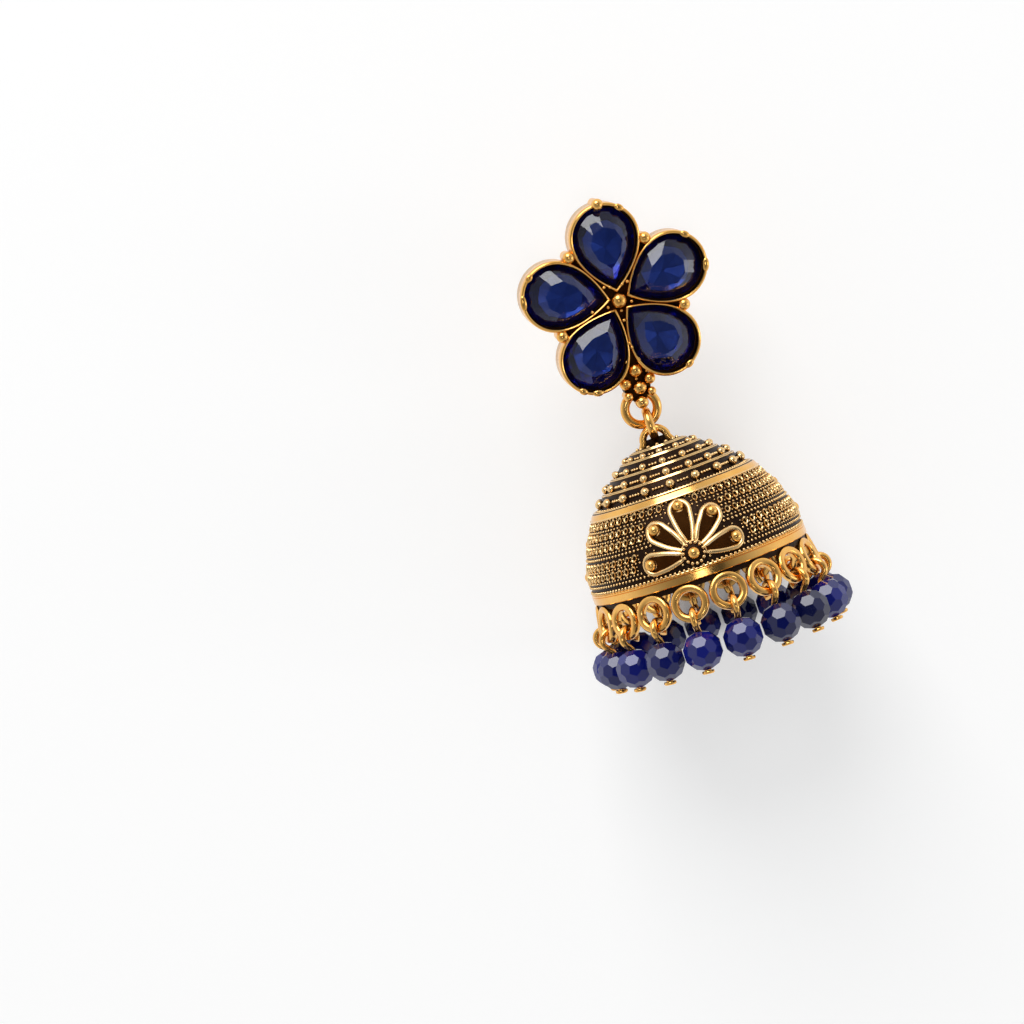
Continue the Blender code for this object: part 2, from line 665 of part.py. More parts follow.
fixed_ring = wire_ring(FLOWER_RING_RADIUS, FLOWER_RING_WIRE / 2, FLOWER_RING_WIRE / 2, FLOWER_RING_SIDES,
                       WIRE_SIDES, Vector((0, 0, 1)), Vector((0, 1, 0)))
merge_into(trim, fixed_ring, Matrix.Translation((0, -flower_ring_reach, FLOWER_RING_LEVEL)))
post_direction = flower_turn @ Vector((0, 0, -1))
post_length = (flower_centre.z - floor - POST_END_GAP) / -post_direction.z
post_profile = [
    (0, BACK_PLATE / 2),
    (POST_RADIUS, BACK_PLATE / 2),
    (POST_RADIUS, -post_length),
    (0, -post_length),
]
merge_into(trim, turned(post_profile, POST_SIDES, Vector((0, 0, 1))), Matrix.Identity(4))
boolean(setting, tool_object("setting_trim", trim, gold, flower), "UNION", overlaps=True)


def scaled_outline(share, inset):
    """The stone's outline, drawn in towards the middle of its length."""
    middle = (PEAR_END + PEAR_TIP) / 2
    return [(x * share, middle + (y - middle) * share) for x, y in pear_outline(-inset)]


# Stones: a table, a crown, a narrow girdle and a pavilion that ends in a small keel
girdle_top = BEZEL_HEIGHT - GIRDLE_DROP
stone_levels = (
    # height, share of the girdle's outline
    (BACK_PLATE + KEEL_CLEARANCE, STONE_KEEL_SHARE),
    (girdle_top - STONE_GIRDLE, 1.0),
    (girdle_top, 1.0),
    (girdle_top + STONE_CROWN, STONE_TABLE_SHARE),
)
for number, turn in enumerate(petal_turns, start=1):
    stone = bmesh.new()
    rows = []
    for height, share in stone_levels:
        rows.append([stone.verts.new((x, y, height)) for x, y in scaled_outline(share, SEAT_CLEARANCE)])
    stone.faces.new(rows[0])
    stone.faces.new(rows[-1])
    for near, far in zip(rows, rows[1:]):
        for i in range(len(near)):
            stone.faces.new((near[i - 1], far[i - 1], far[i], near[i]))
    stone_mesh = mesh_from(f"petal_stone_{number}", stone, blue_stone)
    add_object(f"petal_stone_{number}", stone_mesh, flower, Matrix.Rotation(math.radians(-turn), 4, "Z"))

# Clutch: lies flat on the floor with the leaning post in its bore
along_post = (flower_centre.z - floor - CLUTCH_THICKNESS / 2) / -post_direction.z
clutch_centre = flower_centre + post_direction * along_post
chamfer_radius = CLUTCH_RADIUS - CLUTCH_CHAMFER
half_clutch = CLUTCH_THICKNESS / 2
clutch_profile = [
    (0, -half_clutch),
    (chamfer_radius, -half_clutch),
    (CLUTCH_RADIUS, CLUTCH_CHAMFER - half_clutch),
    (CLUTCH_RADIUS, half_clutch - CLUTCH_CHAMFER),
    (chamfer_radius, half_clutch),
    (0, half_clutch),
]
clutch_mesh = mesh_from("ear_clutch", turned(clutch_profile, CLUTCH_SIDES, Vector((0, 0, 1))), gold)
clutch = add_object("ear_clutch", clutch_mesh, earring, Matrix.Translation(clutch_centre))
bore_radius = POST_RADIUS + CLUTCH_BORE_CLEARANCE
bore = turned([(0, -CLUTCH_THICKNESS), (bore_radius, -CLUTCH_THICKNESS), (bore_radius, CLUTCH_THICKNESS),
               (0, CLUTCH_THICKNESS)], POST_SIDES, Vector((0, 0, 1)))
bore_tool = tool_object("clutch_bore", bore, gold, earring)
bore_tool.matrix_basis = Matrix.Translation(clutch_centre) @ flower_plane
boolean(clutch, bore_tool, "DIFFERENCE")

# The origin is the middle of the footprint, on the floor
bpy.context.view_layer.update()
viewed = bpy.context.evaluated_depsgraph_get()
corners = []
for item in bpy.data.objects:
    if item.type == "MESH" and not item.hide_render:
        evaluated = item.evaluated_get(viewed)
        corners += [item.matrix_world @ corner.co for corner in evaluated.data.vertices]
middle_x = (min(c.x for c in corners) + max(c.x for c in corners)) / 2
middle_y = (min(c.y for c in corners) + max(c.y for c in corners)) / 2
earring.location = (-middle_x, -middle_y, -floor)
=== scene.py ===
"""Looks of a jhumka earring that lies on a pale surface."""
import math
import random

import bmesh
import bpy
import numpy as np
from mathutils import Matrix, Vector


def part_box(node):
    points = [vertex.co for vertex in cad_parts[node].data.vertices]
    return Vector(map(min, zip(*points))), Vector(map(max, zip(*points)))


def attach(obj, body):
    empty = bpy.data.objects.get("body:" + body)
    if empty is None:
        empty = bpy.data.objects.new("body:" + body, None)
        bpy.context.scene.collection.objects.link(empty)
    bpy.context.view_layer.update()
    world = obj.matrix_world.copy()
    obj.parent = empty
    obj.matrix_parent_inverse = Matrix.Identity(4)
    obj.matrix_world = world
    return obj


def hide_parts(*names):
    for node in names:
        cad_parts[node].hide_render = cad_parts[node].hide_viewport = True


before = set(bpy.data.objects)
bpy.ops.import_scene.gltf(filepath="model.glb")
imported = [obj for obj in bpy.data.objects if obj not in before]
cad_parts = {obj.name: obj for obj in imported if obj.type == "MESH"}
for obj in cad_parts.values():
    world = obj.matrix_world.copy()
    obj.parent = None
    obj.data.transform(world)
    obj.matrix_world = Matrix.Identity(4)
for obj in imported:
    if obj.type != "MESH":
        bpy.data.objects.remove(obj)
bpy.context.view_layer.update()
MM = 0.001

# Stage: a pale matt sheet in a white tent, whose top has the dark opening that the picture is taken
# through. A window-like lamp stands towards the top of the picture, a small one hangs overhead, and a
# narrow one lights the edges from the right.
FLOOR_RADIUS = 1.2
WHITE = "#ffffff"
FLOOR_COLOUR = "#c9c9c8"
FLOOR_GLOW = 0.475
GLOW_REACH = 0.006
GLOW_FADE = (0.15, 0.75)
FLOOR_GRAIN = 375.0
CAMERA_PLACE = Vector((2.47, 29.6055, 273.2434)) * MM
CAMERA_TURN = (-8.1096, 1.6126, -19.6)
CAMERA_LENS = 87.11
SENSOR_WIDTH = 36
LAMPS = (
    # name, place in metres, width, height, watts
    ("lamp_window", (-0.05, 1.214, 0.882), 0.95, 0.92, 15.0),
    ("lamp_above", (0.0, -0.08, 1.5), 0.26, 0.26, 1.3),
    ("lamp_right", (1.26, -0.48, 0.48), 0.30, 0.72, 1.6),
)
TENT_TOP = "#76787c"
TENT_FOOT = WHITE
TENT_OPENING = "#2c2e33"
TENT_STRENGTH = 0.97
OPENING_TOWARDS = (0.16, -0.09, 0.983)
OPENING_ANGLES = (22, 13)


def hex_colour(code):
    """An sRGB hex colour as linear red, green, blue and alpha."""
    channels = [int(code[i:i + 2], 16) / 255 for i in (1, 3, 5)]
    linear = [c / 12.92 if c <= 0.04045 else ((c + 0.055) / 1.055) ** 2.4 for c in channels]
    return (*linear, 1.0)


def add_node(tree, kind, settings=None, inputs=None):
    """Adds a node, sets its properties, and fills or links its inputs."""
    node = tree.nodes.new(kind)
    for name, value in (settings or {}).items():
        setattr(node, name, value)
    for socket, value in (inputs or {}).items():
        if isinstance(value, bpy.types.NodeSocket):
            tree.links.new(value, node.inputs[socket])
        else:
            node.inputs[socket].default_value = value
    return node


def new_material(name):
    """A material with only its output node."""
    material = bpy.data.materials.new(name)
    material.use_nodes = True
    material.node_tree.nodes.clear()
    output = material.node_tree.nodes.new("ShaderNodeOutputMaterial")
    return material, material.node_tree, output


def make_object(name, shape, materials, place=Matrix.Identity(4), sharp=40):
    """An object at the origin from a bmesh, moved to its place and shaded smooth but for its sharp edges."""
    if not shape.verts.layers.float.get("proud"):
        proud = shape.verts.layers.float.new("proud")
        for vertex in shape.verts:
            vertex[proud] = 1.0
    bmesh.ops.transform(shape, matrix=place, verts=shape.verts)
    mesh = bpy.data.meshes.new(name)
    shape.to_mesh(mesh)
    shape.free()
    for material in materials:
        mesh.materials.append(material)
    mesh.shade_smooth()
    mesh.set_sharp_from_angle(angle=math.radians(sharp))
    made = bpy.data.objects.new(name, mesh)
    bpy.context.collection.objects.link(made)
    return made


# Matt paper: a white with no shine. The faint glow is painted light that stands for the light the white room
# throws back, and it fades where the earring lies close over the sheet: a painted contact shadow, so that the
# eye sees where it touches.
paper, tree, output = new_material("matt_paper")
paper_place = add_node(tree, "ShaderNodeTexCoord")
grain = add_node(tree, "ShaderNodeTexNoise", inputs={
    "Vector": paper_place.outputs["Object"], "Scale": FLOOR_GRAIN, "Detail": 3.0})
grain_bump = add_node(tree, "ShaderNodeBump", inputs={
    "Strength": 0.04, "Distance": 0.0002, "Height": grain.outputs["Fac"]})
# Painted contact shadow: the glow dims where the earring lies close over the sheet.
openness = add_node(tree, "ShaderNodeAmbientOcclusion", {"samples": 4}, {"Distance": GLOW_REACH})
glow = add_node(tree, "ShaderNodeMapRange", {"clamp": True}, {
    "Value": openness.outputs["AO"], "From Min": GLOW_FADE[0], "From Max": GLOW_FADE[1],
    "To Max": FLOOR_GLOW})
paper_shader = add_node(tree, "ShaderNodeBsdfPrincipled", inputs={
    "Base Color": hex_colour(FLOOR_COLOUR), "Roughness": 0.85, "Normal": grain_bump.outputs["Normal"],
    "Emission Color": hex_colour(WHITE), "Emission Strength": glow.outputs["Result"]})
tree.links.new(paper_shader.outputs["BSDF"], output.inputs["Surface"])

floor_shape = bmesh.new()
bmesh.ops.create_circle(floor_shape, cap_ends=True, segments=96, radius=FLOOR_RADIUS)
floor = make_object("pale_floor", floor_shape, [paper])

for name, place, width, height, watts in LAMPS:
    lamp_data = bpy.data.lights.new(name, "AREA")
    lamp_data.shape = "RECTANGLE"
    lamp_data.size = width
    lamp_data.size_y = height
    lamp_data.energy = watts
    lamp_data.color = hex_colour(WHITE)[:3]
    lamp = bpy.data.objects.new(name, lamp_data)
    lamp.location = place
    lamp.rotation_euler = (-Vector(place)).to_track_quat("-Z", "Y").to_euler()
    bpy.context.collection.objects.link(lamp)

world = bpy.data.worlds.new("studio")
bpy.context.scene.world = world
world.use_nodes = True
world.node_tree.nodes.clear()
tree = world.node_tree
outward = add_node(tree, "ShaderNodeTexCoord").outputs["Generated"]
outward_axes = add_node(tree, "ShaderNodeSeparateXYZ", inputs={"Vector": outward})
tent = add_node(tree, "ShaderNodeMix", {"data_type": "RGBA"}, {
    "Factor": outward_axes.outputs["Z"], "A": hex_colour(TENT_FOOT), "B": hex_colour(TENT_TOP)})
towards = add_node(tree, "ShaderNodeVectorMath", {"operation": "DOT_PRODUCT"}, {
    0: outward,
    1: OPENING_TOWARDS})
opening = add_node(tree, "ShaderNodeMapRange", {"clamp": True, "interpolation_type": "SMOOTHSTEP"}, {
    "Value": towards.outputs["Value"],
    "From Min": math.cos(math.radians(OPENING_ANGLES[0])),
    "From Max": math.cos(math.radians(OPENING_ANGLES[1]))})
pierced_tent = add_node(tree, "ShaderNodeMix", {"data_type": "RGBA"}, {
    "Factor": opening.outputs["Result"], "A": tent.outputs["Result"], "B": hex_colour(TENT_OPENING)})
backdrop = add_node(tree, "ShaderNodeBackground", inputs={
    "Color": pierced_tent.outputs["Result"], "Strength": TENT_STRENGTH})
add_node(tree, "ShaderNodeOutputWorld", inputs={"Surface": backdrop.outputs["Background"]})
bpy.context.scene.view_settings.view_transform = "Standard"

camera_data = bpy.data.cameras.new("camera")
camera_data.sensor_width = SENSOR_WIDTH
camera_data.lens = CAMERA_LENS
camera_data.clip_start = 0.01
camera_data.clip_end = 10
camera = bpy.data.objects.new("camera", camera_data)
camera.location = CAMERA_PLACE
camera.rotation_euler = [math.radians(angle) for angle in CAMERA_TURN]
bpy.context.collection.objects.link(camera)
bpy.context.scene.camera = camera

# Flower setting: five pear bezels of sheet metal soldered to a back plate and to each other, with
# grains in the valleys and at the centre. Cast brass under bright gold plate, all one soldered piece.
FLOWER_TURN = 5
FLOWER_LEAN_RIGHT = 9.5
FLOWER_LEAN_DOWN = 6.8
PETAL_COUNT = 5
PEAR_HALF_WIDTH = 3.39
PEAR_END = 10.05
PEAR_TIP = 1.27
PEAR_CHEEK = 2.0
PEAR_TIP_REACH = 2.4
PEAR_TIP_ANGLE = 52
SEAT_CLEARANCE = 0.12
STONE_TABLE_LEVEL = 2.9
BEZEL_WALL = 0.35
BEZEL_HEIGHT = 2.6
BACK_PLATE = 0.5
BEZEL_SECTION = (
    # share of the wall's width outside the pear's outline, level above the underside
    (0.88, 0.00),
    (1.00, 0.06),
    (1.00, 2.42),
    (0.92, 2.54),
    (0.70, 2.62),
    (0.42, 2.65),
    (0.14, 2.60),
    (0.00, 2.48),
    (0.00, 1.62),
    (-0.80, 1.58),
    (-0.90, 1.42),
    (-0.90, 0.55),
)
BEZEL_GAP = 0.03
INNER_WALL_LEVELS = (0.6, 2.3)
VALLEY_REACH = 6.99
VALLEY_BALL = (0.66, 2.25)
CENTRE_BALL = (0.83, 2.3)
TOP_BALL = (0.64, 2.6)
POST_RADIUS = 0.45
POST_LENGTH = 12.32
POST_ROOT = 0.3
POST_TAPER = 0.25
POST_TIP = 0.6
GOLD = "#f8c87a"
GOLD_WARM = "#e8a444"
# Dark brown of painted shade, for the hollows and the foot of each grain.
SHADE_BROWN = "#2a1708"
HOLLOW_SHADE_GOLD = "#4a2c10"
POLISHED_ROUGHNESS = 0.19
HOLLOW_SHADE_ROUGHNESS = 0.45


def flower_vertex(vertex):
    """A vertex of the frame in the flower's own axes, in millimetres, before its centre is known."""
    return flower_turn.inverted() @ vertex.co / MM


flower_turn = (Matrix.Rotation(math.radians(FLOWER_LEAN_RIGHT), 4, "Y")
               @ Matrix.Rotation(math.radians(FLOWER_LEAN_DOWN), 4, "X")
               @ Matrix.Rotation(math.radians(-FLOWER_TURN), 4, "Z"))
top_stone = [flower_vertex(vertex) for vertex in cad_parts["petal_stone_1"].data.vertices]
flower_centre = Vector((
    (min(v.x for v in top_stone) + max(v.x for v in top_stone)) / 2,
    max(v.y for v in top_stone) - PEAR_END + SEAT_CLEARANCE,
    max(v.z for v in top_stone) - STONE_TABLE_LEVEL))
flower_place = flower_turn @ Matrix.Scale(MM, 4) @ Matrix.Translation(flower_centre)
petal_turns = [360 * step / PETAL_COUNT for step in range(PETAL_COUNT)]


def worked_gold(name, bright, warm, dark, roughness):
    """Gold plate on cast brass: cloudy and faintly pitted, with the foot of what stands proud painted dark:
    painted shade, and on the antique plate patina as well.
    """
    material, tree, output = new_material(name)
    place = add_node(tree, "ShaderNodeTexCoord")
    clouds = add_node(tree, "ShaderNodeTexNoise", inputs={
        "Vector": place.outputs["Object"], "Scale": 450.0, "Detail": 4.0, "Roughness": 0.6})
    tone = add_node(tree, "ShaderNodeMix", {"data_type": "RGBA"}, {
        "Factor": clouds.outputs["Fac"], "A": hex_colour(bright), "B": hex_colour(warm)})
    # Painted shade: the low part of each grain, loop and dot, by its own height, takes the dark colour.
    proud = add_node(tree, "ShaderNodeAttribute", {"attribute_name": "proud"})
    clear_of_foot_shade = add_node(tree, "ShaderNodeMapRange", {"clamp": True}, {
        "Value": proud.outputs["Fac"], "From Min": 0.28, "From Max": 0.52})
    colour = add_node(tree, "ShaderNodeMix", {"data_type": "RGBA"}, {
        "Factor": clear_of_foot_shade.outputs["Result"], "A": hex_colour(dark), "B": tone.outputs["Result"]})
    sheen = add_node(tree, "ShaderNodeMapRange", {}, {
        "Value": clouds.outputs["Fac"], "To Min": roughness * 0.7, "To Max": roughness * 1.4})
    pits = add_node(tree, "ShaderNodeTexNoise", inputs={
        "Vector": place.outputs["Object"], "Scale": 2600.0, "Detail": 2.0})
    bump = add_node(tree, "ShaderNodeBump", inputs={
        "Strength": 0.15, "Distance": 0.00004, "Height": pits.outputs["Fac"]})
    shader = add_node(tree, "ShaderNodeBsdfPrincipled", inputs={
        "Base Color": colour.outputs["Result"], "Metallic": 1.0, "Roughness": sheen.outputs["Result"],
        "Normal": bump.outputs["Normal"]})
    tree.links.new(shader.outputs["BSDF"], output.inputs["Surface"])
    return material


def pear_outline(growth, head_steps=28, side_steps=12):
    """Points of a pear along +Y with its tip towards the centre, grown by a width all round."""
    half_width = PEAR_HALF_WIDTH + growth
    head = PEAR_END - PEAR_HALF_WIDTH
    tip = PEAR_TIP - growth
    angle = math.radians(PEAR_TIP_ANGLE)
    pulls = (Vector((half_width, head)),
             Vector((half_width, head - PEAR_CHEEK)),
             Vector((math.sin(angle) * PEAR_TIP_REACH, math.cos(angle) * PEAR_TIP_REACH + tip)),
             Vector((0, tip)))
    side = []
    for step in range(1, side_steps):
        t = step / side_steps
        weights = ((1 - t) ** 3, 3 * t * (1 - t) ** 2, 3 * t * t * (1 - t), t ** 3)
        side.append(sum((pull * weight for pull, weight in zip(pulls, weights)), Vector((0, 0))))
    turns = [math.pi * step / head_steps for step in range(head_steps + 1)]
    round_end = [Vector((half_width * math.cos(a), head + half_width * math.sin(a))) for a in turns]
    left_side = [Vector((-point.x, point.y)) for point in side]
    return round_end + left_side + [Vector((0, tip))] + side[::-1]


def lofted(rows, joined_ends=False, capped=True):
    """A skin bridged from one closed row of points to the next."""
    shape = bmesh.new()
    loops = []
    for row in rows:
        corners = [shape.verts.new(point) for point in row]
        loops.append([shape.edges.new((corners[i - 1], corners[i])) for i in range(len(corners))])
    pairs = list(zip(loops, loops[1:]))
    if joined_ends:
        pairs.append((loops[-1], loops[0]))
    for near, far in pairs:
        bmesh.ops.bridge_loops(shape, edges=near + far)
    if capped and not joined_ends:
        for loop in (loops[0], loops[-1]):
            bmesh.ops.contextual_create(shape, geom=loop)
    bmesh.ops.recalc_face_normals(shape, faces=shape.faces)
    return shape


def spun(points, steps, axis, across, closed=False):
    """A profile of (distance from the axis, height) points, spun full circle."""
    shape = bmesh.new()
    corners = [shape.verts.new(Vector(across) * reach + Vector(axis) * height) for reach, height in points]
    edges = [shape.edges.new(pair) for pair in zip(corners, corners[1:])]
    if closed:
        edges.append(shape.edges.new((corners[-1], corners[0])))
    bmesh.ops.spin(shape, geom=corners + edges, cent=(0, 0, 0), axis=axis,
                   angle=math.tau, steps=steps, use_merge=True)
    bmesh.ops.remove_doubles(shape, verts=shape.verts, dist=1e-5)
    bmesh.ops.recalc_face_normals(shape, faces=shape.faces)
    return shape


def round_section(reach, half_width, half_thickness, sides):
    """The section of a wire ring, as (distance from the axis, height) points."""
    turns = [math.tau * step / sides for step in range(sides)]
    return [(reach + half_width * math.cos(a), half_thickness * math.sin(a)) for a in turns]


def scattered(unit, places):
    """One bmesh with a copy of a unit shape at each place, and how proud each point stands, from 0 to 1."""
    corners = np.array([[*vertex.co, 1.0] for vertex in unit.verts])
    unit.verts.index_update()
    faces = [[corner.index for corner in face.verts] for face in unit.faces]
    unit.free()
    moved = np.einsum("pij,nj->pni", np.array([[list(row) for row in place] for place in places]), corners)
    all_faces = [[i + k * len(corners) for i in face] for k in range(len(places)) for face in faces]
    # How proud each point stands in its copy, from foot to top; the gold plates paint shade at the foot from
    # it.
    heights = (corners[:, 2] - corners[:, 2].min()) / np.ptp(corners[:, 2])
    mesh = bpy.data.meshes.new("scattered")
    mesh.from_pydata(moved[..., :3].reshape(-1, 3).tolist(), [], all_faces)
    proud = mesh.attributes.new("proud", "FLOAT", "POINT")
    proud.data.foreach_set("value", np.tile(heights, len(places)))
    shape = bmesh.new()
    shape.from_mesh(mesh)
    bpy.data.meshes.remove(mesh)
    return shape


def joined(shapes):
    """Several bmeshes as one. What has no height of its own counts as fully proud."""
    whole = bmesh.new()
    whole.verts.layers.float.new("proud")
    for shape in shapes:
        own = shape.verts.layers.float.get("proud")
        heights = [vertex[own] if own else 1.0 for vertex in shape.verts]
        mesh = bpy.data.meshes.new("joined")
        shape.to_mesh(mesh)
        shape.free()
        start = len(whole.verts)
        whole.from_mesh(mesh)
        bpy.data.meshes.remove(mesh)
        whole.verts.ensure_lookup_table()
        proud = whole.verts.layers.float["proud"]
        for vertex, height in zip(whole.verts[start:], heights):
            vertex[proud] = height
    return whole


def solid(shape, material_index=0):
    """A shape that is fully proud, in one of its object's materials."""
    proud = shape.verts.layers.float.get("proud") or shape.verts.layers.float.new("proud")
    for vertex in shape.verts:
        vertex[proud] = 1.0
    for face in shape.faces:
        face.material_index = material_index
    return shape


def round_ball(radius, segments=20, rings=12):
    """A polished grain."""
    shape = bmesh.new()
    bmesh.ops.create_uvsphere(shape, u_segments=segments, v_segments=rings, radius=radius)
    return shape


# Polished gold plate: deep yellow with warm clouds and sharp lights, with painted shade at the foot of its
# grains. Hollow gold plate: the same metal painted a dull dark brown in the hollows, painted shade that sets
# off the bright edges.
polished_gold = worked_gold("polished_gold_plate", GOLD, GOLD_WARM, SHADE_BROWN, POLISHED_ROUGHNESS)
hollow_shade_gold = worked_gold("hollow_shade_gold_plate", HOLLOW_SHADE_GOLD, SHADE_BROWN, SHADE_BROWN, HOLLOW_SHADE_ROUGHNESS)

petal_places = [Matrix.Rotation(math.radians(-turn), 4, "Z") for turn in petal_turns]
half_sector = math.pi / PETAL_COUNT
inner_edge, outer_edge = pear_outline(0), pear_outline(BEZEL_WALL)
wall_steps = []
for inner, outer in zip(inner_edge, outer_edge):
    room, reached = (point.y * math.sin(half_sector) - abs(point.x) * math.cos(half_sector)
                     for point in (inner, outer))
    width = 1.0 if reached > BEZEL_GAP else (room - BEZEL_GAP) / (room - reached)
    wall_steps.append((outer - inner) * width)
bezel_rows = []
for share, level in BEZEL_SECTION:
    ring = pear_outline(BEZEL_WALL * share) if share < 0 else [
        inner + step * share for inner, step in zip(inner_edge, wall_steps)]
    bezel_rows.append([Vector((*point, level)) for point in ring])
bezel = solid(lofted(bezel_rows))
# The cups' inner walls under the stones take the hollow gold: painted shade.
for face in bezel.faces:
    centre = face.calc_center_median()
    towards = Vector((-centre.x, PEAR_END - PEAR_HALF_WIDTH - centre.y, 0))
    if INNER_WALL_LEVELS[0] < centre.z < INNER_WALL_LEVELS[1] and face.normal.dot(towards) > 0:
        face.material_index = 1
petal_backs = [face.material_index for face in bezel.faces]
bezels = solid(scattered(bezel, petal_places))
for face, index in zip(bezels.faces, petal_backs * PETAL_COUNT):
    face.material_index = index

ball_places = [(*CENTRE_BALL, 0, 0), (*TOP_BALL, 0, PEAR_END + BEZEL_WALL * 0.6)]
for turn in petal_turns:
    valley = turn + 180 / PETAL_COUNT
    if valley != 180:
        angle = math.radians(valley)
        ball_places.append((*VALLEY_BALL, VALLEY_REACH * math.sin(angle), VALLEY_REACH * math.cos(angle)))

# Cluster under the flower: seven grains soldered on a tapered plate, with tiny grains between them,
# and the fixed ring of round wire that the drop hangs from.
CLUSTER_END = 11.2
CLUSTER_HALF_WIDTH = 2.3
CLUSTER_BALL = 0.76
CLUSTER_LEVEL = 1.7
CLUSTER_BALLS = (
    # share of the cluster's end below the flower's centre, of its half width, of its largest ball
    (0.687, 0.04, 1.00),
    (0.795, -0.54, 0.82),
    (0.795, 0.61, 0.82),
    (0.859, 0.07, 0.97),
    (0.920, -0.53, 0.68),
    (0.920, 0.57, 0.65),
    (1.000, 0.02, 0.93),
)
CLUSTER_PLATE = (
    # share of the cluster's end below the flower's centre, share of its half width
    (0.50, 0.30),
    (0.714, 0.62),
    (0.830, 0.68),
    (0.929, 0.55),
    (1.000, 0.22),
)
CLUSTER_PLATE_HEIGHT = 1.35
CLUSTER_PLATE_EDGE = 0.12
STEM_SHARE = 0.85
FIXED_RING_REACH = 12.06
FIXED_RING_RADIUS = 1.75
FIXED_RING_WIRE = 1.0
FIXED_RING_LEVEL = 0.55

for reach, across, size in CLUSTER_BALLS:
    place = (CLUSTER_HALF_WIDTH * across, -CLUSTER_END * reach)
    ball_places.append((CLUSTER_BALL * size, CLUSTER_LEVEL, *place))
balls = scattered(round_ball(1.0, 28, 18), [
    Matrix.Translation((x, y, level)) @ Matrix.Scale(radius, 4) for radius, level, x, y in ball_places])
stem = spun([(0, 0), (STEM_SHARE, 0), (STEM_SHARE, 1), (0, 1)], 16, (0, 0, 1), (1, 0, 0))
stems = solid(scattered(stem, [
    Matrix.Translation((x, y, BACK_PLATE / 2)) @ Matrix.Diagonal((radius, radius, level - BACK_PLATE / 2, 1))
    for radius, level, x, y in ball_places]))

right_edge = [Vector((CLUSTER_HALF_WIDTH * width, -CLUSTER_END * reach)) for reach, width in CLUSTER_PLATE]
plate_edge = right_edge + [Vector((-point.x, point.y)) for point in right_edge[::-1]]
plate = lofted([[Vector((*point, level)) for point in plate_edge] for level in (0, CLUSTER_PLATE_HEIGHT)])
bmesh.ops.bevel(plate, geom=plate.edges[:], offset=CLUSTER_PLATE_EDGE, segments=2, profile=0.5,
                affect="EDGES", material=-1)
# The cluster's plate takes the hollow gold: painted shade between the grains.
solid(plate, 1)
disc_profile = [(0, 0), (VALLEY_REACH, 0), (VALLEY_REACH, BACK_PLATE), (0, BACK_PLATE)]
disc = spun(disc_profile, 60, (0, 0, 1), (1, 0, 0))
# The back plate's top takes the hollow gold, painted shade between the petals and grains; its underside stays
# polished.
for face in disc.faces:
    face.material_index = 1 if face.normal.z > 0.5 else 0
post = spun([(0, POST_ROOT), (POST_RADIUS, POST_ROOT), (POST_RADIUS, POST_TAPER - POST_LENGTH),
             (POST_RADIUS * POST_TIP, -POST_LENGTH), (0, -POST_LENGTH)], 20, (0, 0, 1), (1, 0, 0))
ring_wire = round_section(FIXED_RING_RADIUS, FIXED_RING_WIRE / 2, FIXED_RING_WIRE / 2, 16)
fixed_ring = spun(ring_wire, 48, (0, 0, 1), (1, 0, 0), closed=True)
bmesh.ops.translate(fixed_ring, verts=fixed_ring.verts, vec=(0, -FIXED_RING_REACH, FIXED_RING_LEVEL))

# Tiny grains and prongs: grains of the same gold soldered between the bezels and down the cluster, and
# prongs of bezel metal pushed over the stones' edges to hold them.
TINY_BALL = 0.19
TINY_BALLS = (
    # distance from the flower's centre, angle clockwise from the top petal, level
    (1.75, 22, 2.55),
    (1.75, -22, 2.55),
    (1.35, 108, 2.3),
    (1.35, -108, 2.3),
    (1.1, 180, 2.3),
    (2.15, 36, 2.5),
    (2.15, -36, 2.5),
    (3.1, -98, 2.6),
    (2.1, 180, 2.6),
    (4.6, 180, 2.6),
    (5.1, 178, 2.55),
    (6.6, 186, 2.2),
    (6.6, 174, 2.2),
    (7.2, 180, 2.0),
    (8.15, 189, 1.75),
    (8.15, 171, 1.75),
    (8.6, 180, 1.7),
)
PRONGS = (
    # petal, angle round its head from the flower's right, length
    (0, 52, 0.55),
    (1, 128, 0.55),
    (1, 60, 0.75),
    (2, 86, 0.55),
    (3, 118, 0.6),
    (3, 92, 0.5),
    (4, 60, 0.5),
    (4, 104, 0.85),
)
PRONG_HALF_WIDTH = 0.36
PRONG_HALF_RISE = 0.22
PRONG_REACH = 0.35
PRONG_SINK = 0.02

tiny_places = []
for reach, turn, level in TINY_BALLS:
    angle = math.radians(turn)
    tiny_places.append(Matrix.Translation((reach * math.sin(angle), reach * math.cos(angle), level)))
tiny_balls = scattered(round_ball(TINY_BALL, 10, 6), tiny_places)
prong_places = []
for petal, turn, length in PRONGS:
    angle = math.radians(turn)
    head = PEAR_END - PEAR_HALF_WIDTH
    reach = PEAR_HALF_WIDTH + BEZEL_WALL * PRONG_REACH
    level = BEZEL_HEIGHT - PRONG_SINK
    seat = Matrix.Translation((reach * math.cos(angle), head + reach * math.sin(angle), level))
    turned = Matrix.Rotation(angle, 4, "Z")
    grown = Matrix.Diagonal((PRONG_HALF_WIDTH, length, PRONG_HALF_RISE, 1))
    prong_places.append(petal_places[petal] @ seat @ turned @ grown)
prongs = scattered(round_ball(1.0, 14, 8), prong_places)

setting = make_object("flower_setting_gold", joined(
    [bezels, balls, stems, plate, disc, post, fixed_ring, tiny_balls, solid(prongs)]),
    [polished_gold, hollow_shade_gold], flower_place)
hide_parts("flower_setting")
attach(setting, "root")

